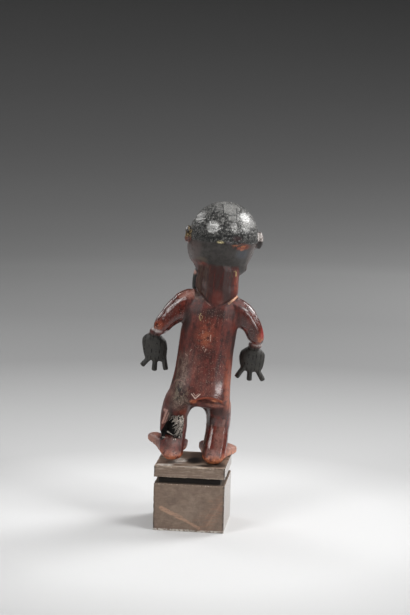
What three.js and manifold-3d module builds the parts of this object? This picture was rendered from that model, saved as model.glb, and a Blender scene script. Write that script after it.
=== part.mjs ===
// Standing ancestor figure, carved from one block of hardwood, on a small grooved wooden plinth.
// Millimetres, +Z up. The origin is the centre of the plinth's underside, and the face looks along -Y.
import * as THREE from 'three';
import { LoftGeometry } from 'three/addons/geometries/LoftGeometry.js';
import { ConvexGeometry } from 'three/addons/geometries/ConvexGeometry.js';
import { mergeVertices } from 'three/addons/utils/BufferGeometryUtils.js';
import Module from 'manifold-3d';

const wasm = await Module();
wasm.setup();

// Plinth, a square block with a saw cut all round under its top slab
const PLINTH_WIDTH = 54;
const PLINTH_DEPTH = 53.2;
const PLINTH_HEIGHT = 50.1;
const SLAB_THICKNESS = 8.4;
const GROOVE_HEIGHT = 5;
const GROOVE_RECESS = 3.6;
const ARRIS = 0.5;

// Stance of the figure on the plinth
const LEAN = THREE.MathUtils.degToRad(6.3);
const TURN = THREE.MathUtils.degToRad(6.1);
const SOLE_PLACE = new THREE.Vector3(0.5, -3, PLINTH_HEIGHT + 1.5);
const REST_GAP = 0.3;

// Upright heights of the figure above its soles
const CROWN = 197.8;
const RIM = 169.4;
const CHIN = 141;
const SHOULDER = 127;
const SEAT = 42;
const KNEE = 31;

// Half-widths of the main masses
const CAP_RADIUS = 26.4;
const NECK_RADIUS = 16.1;
const TORSO_HALF = 21.4;
const TORSO_SHIFT = 1.6;
const LEG_HALF = 9.5;
const LEG_SPREAD = 17.1;
const LEG_SHIFT = 1.8;
const LEFT_LEG_FULLER = 1;

// Head details
const HEAD_TURN = 5;
const HEAD_TILT = 3.5;
const CAP_PROUD = 0.9;
const HAIRLINE_RISE = THREE.MathUtils.degToRad(32);
const FACET_ROWS = [
  { elevation: 9, count: 13, turn: 4, depth: 0.968 },
  { elevation: 33, count: 11, turn: 16, depth: 0.966 },
  { elevation: 57, count: 7, turn: 2, depth: 0.964 },
  { elevation: 82, count: 2, turn: 25, depth: 0.967 },
];
const EAR = { x: 26.6, y: 1.5, rise: 1.6, thick: 3.6, deep: 4.6, tall: 6.4, hollow: 2.6 };
const FACE = { front: -24.4, eyes: 166.5, eyeGap: 9.6, noseBase: 157, mouth: 151.2 };
const BEARD = { x: 2.2, half: 17.6, foot: 127.5, back: -10, front: -25.5 };

// Hands and feet
const ARM_DEPTH = 1.4;
const DIGIT_RADIUS = 2.1;
const HAND_DEPTH = -12;
const TOE_COUNT = 5;
const TOE_END = -26;
const TOE_WIDTH = 29;
const TOE_SPREAD = 0.35;
const FOOT_THICKNESS = 10;
const TOE_NOTCH = 1.3;
const TOE_NOTCH_LENGTH = 6.5;

const SHOULDER_PLANES = [
  { point: [10.6, 10.9, 126.2], facing: [0.26, 0.47, 0.85] },
  { point: [-8.6, 12.4, 122.3], facing: [-0.06, 0.58, 0.81] },
];
const SEAT_ARCH = { place: [-4, 21, 41.6], radii: [13, 7.5, 7.8] };
const CROTCH = { x: 1.3, y: -2.4, z: 31.8, half: 7, rise: 7.8, deep: 9 };
const NAVEL = { y: -15.5, z: 74, radius: 3.2 };
const BREAK_FLOOR = 1.5;
const BREAK_BACK = 21.5;
const BREAK_SHALLOW = [11, 8.5, 33];
const BREAK_SLOPE = [-0.5, -1, 0.08];

// Lengthwise knife facets round each mass, a little uneven as a hand leaves them
const TORSO_FACETS = 18;
const NECK_FACETS = 13;
const ARM_FACETS = 10;
const HAND_FACETS = 12;
const LEG_FACETS = 10;
const LEG_FACET_TURN = 0.16;
const FOOT_FACETS = 16;
const DIGIT_FACETS = 8;
const SMOOTH_SIDES = 24;
const UNEVEN = 0.22;

// Directions in the upright figure
const ACROSS = new THREE.Vector3(1, 0, 0);
const BACK = new THREE.Vector3(0, 1, 0);
const UP = new THREE.Vector3(0, 0, 1);
const DOWN = new THREE.Vector3(0, 0, -1);

// A solid made from any closed geometry
function solid(geometry) {
  const bare = new THREE.BufferGeometry();
  bare.setAttribute('position', geometry.attributes.position.clone());
  bare.setIndex(geometry.index);
  const merged = mergeVertices(bare, 1e-4);
  return new wasm.Manifold(new wasm.Mesh({
    numProp: 3,
    vertProperties: new Float32Array(merged.attributes.position.array),
    triVerts: new Uint32Array(merged.index.array),
  }));
}

// The faces of a solid as a geometry again
function geometryOf(body) {
  const mesh = body.getMesh();
  const geometry = new THREE.BufferGeometry();
  geometry.setAttribute('position', new THREE.BufferAttribute(new Float32Array(mesh.vertProperties), 3));
  geometry.setIndex(new THREE.BufferAttribute(new Uint32Array(mesh.triVerts), 1));
  geometry.computeVertexNormals();
  return geometry;
}

// More stations between the given ones, on one smooth curve
function faired(stations, rings) {
  const places = stations.map((station, index) => index);
  const spline = new THREE.CubicInterpolant(places, stations.flat(), stations[0].length);
  const last = stations.length - 1;
  return Array.from({ length: rings }, (_, ring) => [...spline.evaluate((ring * last) / (rings - 1))]);
}

// A rounded, slightly squared section, half by deep, in the plane of two directions
function section(centre, across, along, half, deep, squareness, sides, turn) {
  const points = [];
  for (let side = 0; side < sides; side += 1) {
    const angle = ((side + 0.5 + UNEVEN * Math.sin(side * 2.4)) / sides) * 2 * Math.PI + turn;
    const c = Math.cos(angle);
    const s = Math.sin(angle);
    const u = Math.sign(c) * Math.abs(c) ** (2 / squareness) * half;
    const v = Math.sign(s) * Math.abs(s) ** (2 / squareness) * deep;
    points.push(centre.clone().addScaledVector(across, u).addScaledVector(along, v));
  }
  return points;
}

// A mass carved along a line of stations, each [x, y, z, half-width, half-depth]
function carved(stations, { rings, squareness = 2.3, sides, turn = 0, back = BACK }) {
  const line = faired(stations, rings);
  const centres = line.map(([x, y, z]) => new THREE.Vector3(x, y, z));
  const sections = line.map((station, index) => {
    const before = centres[Math.max(index - 1, 0)];
    const after = centres[Math.min(index + 1, rings - 1)];
    const tangent = after.clone().sub(before).normalize();
    const across = back.clone().cross(tangent).normalize();
    const along = tangent.clone().cross(across);
    return section(centres[index], across, along, station[3], station[4], squareness, sides, turn);
  });
  return solid(new LoftGeometry(sections, { closed: true, capStart: true, capEnd: true }));
}

// An upright mass with level sections, each station [z, centre x, centre y, half-width, half-depth]
function upright(stations, { rings, squareness = 2.3, sides, turn = 0 }) {
  const sections = faired(stations, rings).map(([z, x, y, half, deep]) => (
    section(new THREE.Vector3(x, y, z), ACROSS, BACK, half, deep, squareness, sides, turn)
  ));
  return solid(new LoftGeometry(sections, { closed: true, capStart: true, capEnd: true }));
}

// An egg-shaped lump
function lump(x, y, z, rx, ry, rz, segments = 12) {
  const ball = new THREE.SphereGeometry(1, segments, Math.round(segments * 0.7));
  return solid(ball.scale(rx, ry, rz).translate(x, y, z));
}

// A block that lies wholly on the outer side of a plane
function beyondPlane(point, normal, size = 120) {
  const block = new THREE.BoxGeometry(size, size, size).translate(0, 0, size / 2);
  const turn = new THREE.Quaternion().setFromUnitVectors(new THREE.Vector3(0, 0, 1), normal);
  return solid(block.applyQuaternion(turn).translate(point.x, point.y, point.z));
}

function joined(bodies) {
  return bodies.reduce((whole, body) => whole.add(body));
}

// Torso: a long slab with a full seat that overhangs the thighs behind, and a rounded lower belly.
// Two flat planes slope down behind the shoulders, and the seat's lower edge is cut to an arch.
function makeTorso() {
  const body = upright([
    [SEAT - 2.2, 1.6, -4, 11, 5.4],
    [SEAT - 0.8, 1.6, -2.4, 18, 10],
    [SEAT + 1, 2, 1.5, 21.6, 14.6],
    [SEAT + 6, 2.1, 3.4, 23.8, 17],
    [SEAT + 14, 1.8, 3, 22.8, 16.8],
    [66, TORSO_SHIFT, 0.8, 21.9, 15.8],
    [80, TORSO_SHIFT, -0.8, TORSO_HALF, 15.6],
    [94, TORSO_SHIFT, 0.4, TORSO_HALF, 14.6],
    [106, 1, 1.4, 21, 14.4],
    [SHOULDER - 11, 0.6, 1.5, 20.4, 13.3],
    [SHOULDER - 5.5, 0.4, 1.6, 19.4, 11.4],
    [SHOULDER - 1.5, 0.4, 1.7, 18.8, 9.5],
    [SHOULDER + 1.8, 0.4, 2.6, 16.6, 7.2],
  ], { rings: 21, squareness: 2.7, sides: TORSO_FACETS });
  const planes = SHOULDER_PLANES.map(({ point, facing }) => (
    beyondPlane(new THREE.Vector3(...point), new THREE.Vector3(...facing).normalize())
  ));
  const arch = lump(...SEAT_ARCH.place, ...SEAT_ARCH.radii, 16);
  return body.subtract(joined([...planes, arch]));
}

// Crotch: the wood between the thighs, cut to a small round arch
function makeCrotch() {
  const { x, y, z, half, rise, deep } = CROTCH;
  const web = new THREE.BoxGeometry(half * 2 + 3, deep, SEAT - z).translate(x, y, (SEAT + z) / 2);
  const arch = new THREE.CylinderGeometry(1, 1, deep * 2, SMOOTH_SIDES).scale(half, 1, rise);
  return solid(web).subtract(solid(arch.translate(x, y, z)));
}

// Neck: a thick, almost straight cylinder
function makeNeck() {
  return upright([
    [SHOULDER - 18, 0.2, 0.5, 15, 11],
    [SHOULDER - 8, 0.4, 0.6, NECK_RADIUS - 0.2, 12.4],
    [SHOULDER + 2, 0.6, 0.4, NECK_RADIUS, 13],
    [CHIN - 3, 1.2, 0.2, NECK_RADIUS, 13],
    [CHIN + 9, 1.5, -0.2, NECK_RADIUS + 0.2, 13.2],
    [CHIN + 19, 1.5, -1.5, NECK_RADIUS, 14],
  ], { rings: 9, squareness: 2.2, sides: NECK_FACETS });
}

// Skull and face below the hair, narrowing to the jaw and the nape
function makeSkull() {
  const lower = upright([
    [CHIN - 1, 0.8, -11.5, 9.5, 8.5],
    [CHIN + 1.5, 0.8, -10.2, 15.4, 12.4],
    [CHIN + 6, 0.8, -8, 19.6, 15.8],
    [CHIN + 12, 1, -5.6, 22.6, 18.8],
    [CHIN + 19, 0.8, -3, 25, 21.6],
    [RIM - 3, 0.3, -0.9, 25.8, 24.2],
    [RIM + 1.5, 0, -0.4, 25.7, 25],
  ], { rings: 11, squareness: 2.15, sides: SMOOTH_SIDES });
  const radius = CAP_RADIUS - CAP_PROUD;
  const upper = lump(0, -0.4, RIM + 2, radius, radius - 0.4, CROWN - RIM - 3.5, 20);
  return lower.add(upper.subtract(beyondPlane(new THREE.Vector3(0, 0, RIM), DOWN)));
}

// Hair: a dome standing a little proud of the skull, dressed with flat knife cuts
function makeCap() {
  const centre = new THREE.Vector3(0, -0.3, CROWN - CAP_RADIUS);
  let cap = lump(centre.x, centre.y, centre.z, CAP_RADIUS, CAP_RADIUS, CAP_RADIUS, 28);
  for (const row of FACET_ROWS) {
    for (let index = 0; index < row.count; index += 1) {
      const azimuth = THREE.MathUtils.degToRad(row.turn + (index * 360) / row.count);
      const elevation = THREE.MathUtils.degToRad(row.elevation);
      const outward = new THREE.Vector3(
        Math.cos(elevation) * Math.cos(azimuth),
        Math.cos(elevation) * Math.sin(azimuth),
        Math.sin(elevation),
      );
      const place = centre.clone().addScaledVector(outward, CAP_RADIUS * row.depth);
      cap = cap.subtract(beyondPlane(place, outward));
    }
  }
  const rim = beyondPlane(new THREE.Vector3(0, 0, RIM), DOWN);
  const browward = new THREE.Vector3(0, -Math.sin(HAIRLINE_RISE), -Math.cos(HAIRLINE_RISE));
  const hairline = beyondPlane(new THREE.Vector3(0, -7, RIM), browward);
  return cap.subtract(rim).subtract(hairline);
}

// Ear: a small rounded knob, hollowed towards the outside
function makeEar(side) {
  const z = RIM + EAR.rise;
  const knob = lump(side * EAR.x, EAR.y, z, EAR.thick, EAR.deep, EAR.tall, 12);
  const mouth = side * (EAR.x + EAR.thick);
  const hollow = lump(mouth, EAR.y - 0.6, z, EAR.hollow, EAR.hollow, EAR.tall * 0.5, 8);
  return knob.subtract(hollow);
}

// Face: calm, with a plain brow, straight nose, almond eyes and closed lips
function makeFace() {
  const nose = new ConvexGeometry([
    [0, -2.5, 171], [-2, 1, 171], [2, 1, 171],
    [0, -6.4, FACE.noseBase + 2.4], [-2.2, -5.2, FACE.noseBase + 1], [2.2, -5.2, FACE.noseBase + 1],
    [-4.6, -1.4, FACE.noseBase + 0.4], [4.6, -1.4, FACE.noseBase + 0.4],
    [-4.2, 3, FACE.noseBase], [4.2, 3, FACE.noseBase],
  ].map(([x, y, z]) => new THREE.Vector3(x, FACE.front + y, z)));
  const parts = [solid(nose)];
  for (const side of [-1, 1]) {
    const eyeX = side * FACE.eyeGap;
    parts.push(lump(eyeX, FACE.front + 3, FACE.eyes, 5.4, 3.4, 2.6, 10));
    parts.push(lump(eyeX, FACE.front + 3.2, FACE.eyes + 5, 7.4, 3.5, 1.7, 10));
  }
  parts.push(lump(0.6, FACE.front + 2.4, FACE.mouth + 1.3, 6.6, 3.6, 1.5, 10));
  parts.push(lump(0.6, FACE.front + 2.4, FACE.mouth - 1.3, 5.8, 3.6, 1.5, 10));
  return joined(parts);
}

// Beard: a broad squared block hanging from the jaw in front of the neck
function makeBeard() {
  const middle = (BEARD.back + BEARD.front) / 2;
  const deep = (BEARD.back - BEARD.front) / 2;
  return upright([
    [BEARD.foot, BEARD.x + 0.6, middle - 0.5, BEARD.half - 2.4, deep - 1.6],
    [BEARD.foot + 1.6, BEARD.x + 0.6, middle - 0.5, BEARD.half - 0.9, deep - 0.6],
    [BEARD.foot + 9, BEARD.x, middle, BEARD.half, deep],
    [CHIN + 4, BEARD.x - 0.6, middle + 0.6, BEARD.half - 1, deep - 0.8],
    [CHIN + 8, BEARD.x - 1, middle + 1.6, BEARD.half - 5, deep - 2.6],
  ], { rings: 9, squareness: 4.5, sides: SMOOTH_SIDES });
}

function makeHead() {
  const head = joined([makeSkull(), makeCap(), makeEar(1), makeEar(-1), makeFace(), makeBeard()]);
  const pivot = CROWN - CAP_RADIUS;
  return head.translate([0, 0, -pivot]).rotate([0, HEAD_TILT, 0]).rotate([0, 0, HEAD_TURN])
    .translate([-0.3, 0, pivot]);
}

// Arm: a sloping upper arm cut off bluntly at the elbow, and a short thin forearm that runs forward
function makeArm(side, [shoulder, middle, low, elbow], wrist) {
  const upper = carved([
    [side * 8, ARM_DEPTH, shoulder[1] + 4.2, 9.8, 9.4],
    [shoulder[0], ARM_DEPTH, shoulder[1], 10.2, 10],
    [middle[0], ARM_DEPTH, middle[1], 7.8, 8.8],
    [low[0], ARM_DEPTH, low[1], 6.8, 7.8],
    [elbow[0], ARM_DEPTH, elbow[1], 5.8, 6.6],
    [elbow[0] - side * 0.2, ARM_DEPTH, elbow[1] - 3.2, 3.8, 4.4],
  ], { rings: 14, sides: ARM_FACETS });
  const fore = carved([
    [elbow[0], ARM_DEPTH - 3, elbow[1], 4, 3.6],
    [(elbow[0] + wrist[0]) / 2 + side * 0.8, (ARM_DEPTH + HAND_DEPTH) / 2, wrist[1] + 0.5, 4.8, 4.1],
    [wrist[0], HAND_DEPTH + 2.5, wrist[1] - 0.8, 4.6, 3.9],
    [wrist[0], HAND_DEPTH - 0.6, wrist[1] - 3.4, 3.8, 2.8],
  ], { rings: 7, sides: ARM_FACETS, back: UP });
  return upper.add(fore);
}

// One short digit with a blunt tip
function makeDigit(root, tip) {
  const [rx, rz] = root;
  const [tx, tz] = tip;
  const at = (t) => [rx + (tx - rx) * t, HAND_DEPTH + 0.4, rz + (tz - rz) * t];
  return carved([
    [...at(-0.9), DIGIT_RADIUS * 1.25, DIGIT_RADIUS * 1.4],
    [...at(0), DIGIT_RADIUS, DIGIT_RADIUS * 1.1],
    [...at(0.85), DIGIT_RADIUS * 1.04, DIGIT_RADIUS],
    [...at(1), DIGIT_RADIUS * 0.78, DIGIT_RADIUS * 0.7],
  ], { rings: 7, sides: DIGIT_FACETS });
}

// Hand: a thick rounded paddle hanging from the wrist, with three digits
function makeHand(top, palm, heel, digits) {
  const y = HAND_DEPTH;
  const paddle = upright([
    [heel[1] - 3.2, heel[0], y + 0.2, 7.2, 1.8],
    [heel[1], heel[0], y, 8.8, 3.4],
    [(palm[1] + heel[1]) / 2, (palm[0] + heel[0]) / 2, y, 9.7, 4.2],
    [palm[1], palm[0], y, 10.1, 4.6],
    [(top[1] + palm[1]) / 2, (top[0] + palm[0]) / 2, y + 0.2, 9.5, 4.4],
    [top[1] - 1.8, top[0], y + 0.4, 7, 3.4],
    [top[1], top[0], y + 0.5, 4.4, 2.2],
  ], { rings: 12, sides: HAND_FACETS });
  return joined([paddle, ...digits.map(([root, tip]) => makeDigit(root, tip))]);
}

// Leg: thigh under the seat, bent knee pushed forward, calf and rounded heel
function makeLeg(side) {
  const fuller = side > 0 ? LEFT_LEG_FULLER : 0;
  const x = side * LEG_SPREAD + LEG_SHIFT;
  const half = LEG_HALF + fuller;
  return upright([
    [0.2, x - side * 0.8, 10.5, 5.4, 6],
    [1.4, x - side * 0.8, 9.6, LEG_HALF - 1.6, 8.8],
    [5, x - side * 0.6, 9, LEG_HALF - 0.6, 10.2],
    [13, x - side * 0.2, 5.6, LEG_HALF, 9.8],
    [23, x + side * 0.1, 0.6, half - 0.4, 9.8],
    [KNEE, x + side * 0.1, -1.6 + fuller * 0.4, half, 10.6 + fuller * 0.5],
    [SEAT - 3, x - side * 0.7, 0.6 + fuller, half, 12 + fuller * 1.6],
    [SEAT + 5, x - side * 2.2, 2.4 + fuller * 0.6, half, 14 + fuller * 0.8],
    [SEAT + 13, x - side * 5.2, 2, LEG_HALF, 13],
  ], { rings: 15, squareness: 2.3, sides: LEG_FACETS, turn: side * LEG_FACET_TURN });
}

// Foot: a broad fan with a flat sole and notches between the toes
function makeFoot(side, spread) {
  const x = side * LEG_SPREAD + LEG_SHIFT;
  const flare = side * spread;
  const fan = carved([
    [x, 15, 4.2, 6.6, 4],
    [x, 8, 5.4, 8.6, 5.3],
    [x + flare * 0.2, -4, 5.6, 10.6, 5.5],
    [x + flare * 0.6, -14, 5.4, 13.4, 5.1],
    [x + flare * 0.9, -21, 5.2, 15.2, 4.6],
    [x + flare, -24.4, 5, 14.6, 3.8],
    [x + flare, -26, 4.8, 12.6, 2.2],
  ], { rings: 11, squareness: 2.9, sides: FOOT_FACETS, back: UP });
  const notches = [];
  for (let toe = 1; toe < TOE_COUNT; toe += 1) {
    const share = toe / TOE_COUNT - 0.5;
    const notch = new THREE.CylinderGeometry(TOE_NOTCH, TOE_NOTCH, FOOT_THICKNESS * 3, 4);
    notch.scale(1, 1, TOE_NOTCH_LENGTH / TOE_NOTCH).rotateX(Math.PI / 2);
    notch.rotateX(Math.PI / 2).rotateZ(share * -TOE_SPREAD);
    notch.translate(x + flare + share * TOE_WIDTH, TOE_END, 0);
    notches.push(solid(notch));
  }
  return fan.subtract(joined(notches));
}

// Break behind the left calf: a jagged pocket that opens through the outer side and deepens towards it
function makeBreak() {
  const outline = [
    [22.8, 28], [20.8, 30.8], [19.2, 32.6], [16.3, 31.6], [13.4, 33.2], [10.9, 32.2], [10.5, 29], [10.9, 25],
    [11.6, 20.4], [13, 17.6], [14.8, 15.2], [17, 15.6], [19.4, 14.9], [21.8, 15.3], [24, 14.6],
    [25.2, 13.2], [28, 12.4], [31, 12.8], [31, 17.2], [27.6, 17], [26.2, 20.4], [24.8, 24.8],
  ];
  const shape = new THREE.Shape(outline.map(([x, z]) => new THREE.Vector2(x, z)));
  const block = new THREE.ExtrudeGeometry(shape, { depth: BREAK_BACK - BREAK_FLOOR, bevelEnabled: false });
  // The outline is drawn in x and z, and the pocket runs from inside the calf out at its back
  block.rotateX(Math.PI / 2).translate(0, BREAK_BACK, 0);
  // Its floor slopes up to the surface along the inner side, where the wood has torn away thinly
  const slope = new THREE.Vector3(...BREAK_SLOPE).normalize();
  const tornFace = beyondPlane(new THREE.Vector3(...BREAK_SHALLOW), slope);
  return solid(block).subtract(tornFace);
}

// Stand that turns and leans the upright figure over the plinth
const stand = new THREE.Group();
stand.rotation.set(0, -LEAN, TURN, 'ZYX');
stand.position.copy(SOLE_PLACE);
stand.updateMatrixWorld();

function makeFigure() {
  const leftHand = makeHand([42.4, 89.6], [40.9, 80.6], [39.4, 71.8], [
    [[44.6, 69.4], [49, 63.4]],
    [[39.2, 68.6], [38.8, 60.7]],
    [[32.2, 70.4], [30, 62.4]],
  ]);
  const rightHand = makeHand([-35.2, 89.4], [-34.8, 80.8], [-35.3, 73.4], [
    [[-28.2, 70.6], [-24.6, 64]],
    [[-34.5, 69.8], [-35, 62.8]],
    [[-41, 70.8], [-45.8, 64.2]],
  ]);
  let figure = joined([
    makeTorso(),
    makeCrotch(),
    makeNeck(),
    makeHead(),
    makeArm(1, [[21.8, 115], [32.2, 106.2], [36.9, 99.2], [38, 95.6]], [41.8, 92]),
    makeArm(-1, [[-20.8, 115.4], [-29.5, 108.6], [-34, 101.2], [-35.4, 97]], [-34.9, 91.8]),
    leftHand,
    rightHand,
    makeLeg(1),
    makeLeg(-1),
    makeFoot(1, 3.6),
    makeFoot(-1, 3.2),
    lump(0, NAVEL.y, NAVEL.z, NAVEL.radius, NAVEL.radius, NAVEL.radius, 10),
  ]);
  figure = figure.subtract(makeBreak());
  // The soles are dressed flat where they meet the plinth
  const floor = beyondPlane(new THREE.Vector3(0, 0, PLINTH_HEIGHT + REST_GAP), DOWN, 200);
  const toFigure = stand.matrixWorld.clone().invert();
  return figure.subtract(solid(geometryOf(floor).applyMatrix4(toFigure)));
}

// Plinth: one block, turned into a slab over a recessed neck by the saw cut
function makePlinth() {
  const under = PLINTH_HEIGHT - SLAB_THICKNESS;
  const shelf = under - GROOVE_HEIGHT;
  const square = (z, inset) => {
    const hx = PLINTH_WIDTH / 2 - inset;
    const hy = PLINTH_DEPTH / 2 - inset;
    const corners = [
      [hx, -hy + ARRIS], [hx, hy - ARRIS], [hx - ARRIS, hy], [-hx + ARRIS, hy],
      [-hx, hy - ARRIS], [-hx, -hy + ARRIS], [-hx + ARRIS, -hy], [hx - ARRIS, -hy],
    ];
    return corners.map(([x, y]) => new THREE.Vector3(x, y, z));
  };
  return new LoftGeometry([
    square(0, ARRIS),
    square(ARRIS, 0),
    square(shelf - ARRIS, 0),
    square(shelf, ARRIS),
    square(shelf, GROOVE_RECESS),
    square(under, GROOVE_RECESS),
    square(under, ARRIS),
    square(under + ARRIS, 0),
    square(PLINTH_HEIGHT - ARRIS, 0),
    square(PLINTH_HEIGHT, ARRIS),
  ], { closed: true, capStart: true, capEnd: true });
}

const oiledWood = new THREE.MeshStandardMaterial({ color: 0x5a2216, roughness: 0.35, metalness: 0 });
const stainedWood = new THREE.MeshStandardMaterial({ color: 0x6f6459, roughness: 0.75, metalness: 0 });

const figureMesh = new THREE.Mesh(geometryOf(makeFigure()), oiledWood);
figureMesh.name = 'figure';
stand.add(figureMesh);

const plinthMesh = new THREE.Mesh(makePlinth(), stainedWood);
plinthMesh.name = 'plinth';

const ancestorFigure = new THREE.Group();
ancestorFigure.add(plinthMesh, stand);

export default ancestorFigure;
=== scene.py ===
# Ancestor figure: a small carved hardwood figure that leans on a grooved wooden plinth.
import random
from math import cos, pi, radians, sin, sqrt

import bmesh
import bpy
import numpy as np
from mathutils import Matrix, Vector


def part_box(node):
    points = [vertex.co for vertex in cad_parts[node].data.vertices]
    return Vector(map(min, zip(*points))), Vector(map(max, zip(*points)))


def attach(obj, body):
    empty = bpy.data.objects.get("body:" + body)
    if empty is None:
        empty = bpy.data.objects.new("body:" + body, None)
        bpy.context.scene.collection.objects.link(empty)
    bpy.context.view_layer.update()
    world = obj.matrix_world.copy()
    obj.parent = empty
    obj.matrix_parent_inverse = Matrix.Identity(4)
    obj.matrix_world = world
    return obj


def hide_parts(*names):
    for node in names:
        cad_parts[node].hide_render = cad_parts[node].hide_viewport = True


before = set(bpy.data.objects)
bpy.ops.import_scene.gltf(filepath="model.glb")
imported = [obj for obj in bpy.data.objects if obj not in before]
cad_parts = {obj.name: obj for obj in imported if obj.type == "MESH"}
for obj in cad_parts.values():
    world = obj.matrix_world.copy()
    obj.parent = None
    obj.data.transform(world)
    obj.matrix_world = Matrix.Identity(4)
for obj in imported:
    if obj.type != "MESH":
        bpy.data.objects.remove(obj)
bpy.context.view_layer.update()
bpy.ops.object.select_all(action="DESELECT")


# The plinth is one block of stained wood. A saw cut all round leaves a thin slab on top,
# its edges are eased and rubbed pale, and a long diagonal rub crosses the face behind.
MM = 0.001
plinth_low, plinth_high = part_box("plinth")
SLAB_THICKNESS = 8.4 * MM
GROOVE_HEIGHT = 5 * MM
GROOVE_RECESS = 3.6 * MM
ARRIS = 0.4 * MM
LONG_EDGE = 2 * MM
GRID_CUTS = 44
BEVEL_ANGLE = radians(30)
SMOOTH_ANGLE = radians(40)
NICK_SIZE = 3.5 * MM
NICK_DEPTH = 0.3 * MM
NICK_REACH = 0.6
STAIN = (0.205, 0.142, 0.103)
STAIN_DARK = (0.135, 0.093, 0.068)
STAIN_PALE = (0.46, 0.38, 0.30)
DIRT_AND_SHADE = (0.006, 0.005, 0.004)
STAIN_RED = (0.25, 0.13, 0.085)
PALE_DUST_AND_LIGHT = (0.72, 0.68, 0.62)
RUB_COLOUR = (0.39, 0.235, 0.155)
RUB_START = (21.0, 17.6)
RUB_MIDDLE = (5.6, 10.6)
RUB_END = (-8.0, 3.4)
BRUSH_ANGLE = radians(42)
BRUSHING = (((-26, 26), (-12, 2), 6, 0.8), ((-17, 24), (-6, 8), 3, 0.5))
GLANCING_RUBS = (((-25, 24), (-14, 5), 0.9, 0.26), ((-20, 24), (-11, 7), 0.5, 0.14))
# Painted shadows of the feet on the top, with some grime.
HEEL_SHADOW_AND_GRIME = (
    ((-1.5, 3), (9, 14), 1.1), ((15.5, 12), (8, 5), 0.6), ((-13, 19), (12, 5), 0.95),
    ((-22, 16), (8, 9), 0.9),
)
# Pale patches on the top, partly dust and partly painted light.
HEEL_DUST_AND_LIGHT = (
    ((9.5, 5), (6.5, 11), 1.1), ((12.5, 14), (8, 5), 0.9), ((19, 21), (9, 5), 1.0), ((2, 24), (14, 2), 0.9),
)


class Wire:
    """A shader value. Python's operators on it add the Math nodes that work it out."""

    def __init__(self, finish, socket):
        self.finish = finish
        self.socket = socket

    def math(self, operation, first, second=0.0):
        return self.finish.node("ShaderNodeMath", {"operation": operation}, {0: first, 1: second})

    def __add__(self, other):
        return self.math("ADD", self, other)

    def __sub__(self, other):
        return self.math("SUBTRACT", self, other)

    def __rsub__(self, other):
        return self.math("SUBTRACT", other, self)

    def __mul__(self, other):
        return self.math("MULTIPLY", self, other)

    def __truediv__(self, other):
        return self.math("DIVIDE", self, other)

    def __pow__(self, other):
        return self.math("POWER", self, other)

    __radd__ = __add__
    __rmul__ = __mul__

    def least(self, other):
        return self.math("MINIMUM", self, other)

    def most(self, other):
        return self.math("MAXIMUM", self, other)

    def size(self):
        return self.math("ABSOLUTE", self)

    def beside(self, output):
        """Another output of the same node."""
        return Wire(self.finish, self.socket.node.outputs[output])

    def step(self, low, high):
        """0 at low and 1 at high, whichever is the larger, with a soft change between."""
        return self.finish.node("ShaderNodeMapRange", {"interpolation_type": "SMOOTHSTEP"}, {
            "Value": self, "From Min": low, "From Max": high,
        })


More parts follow.
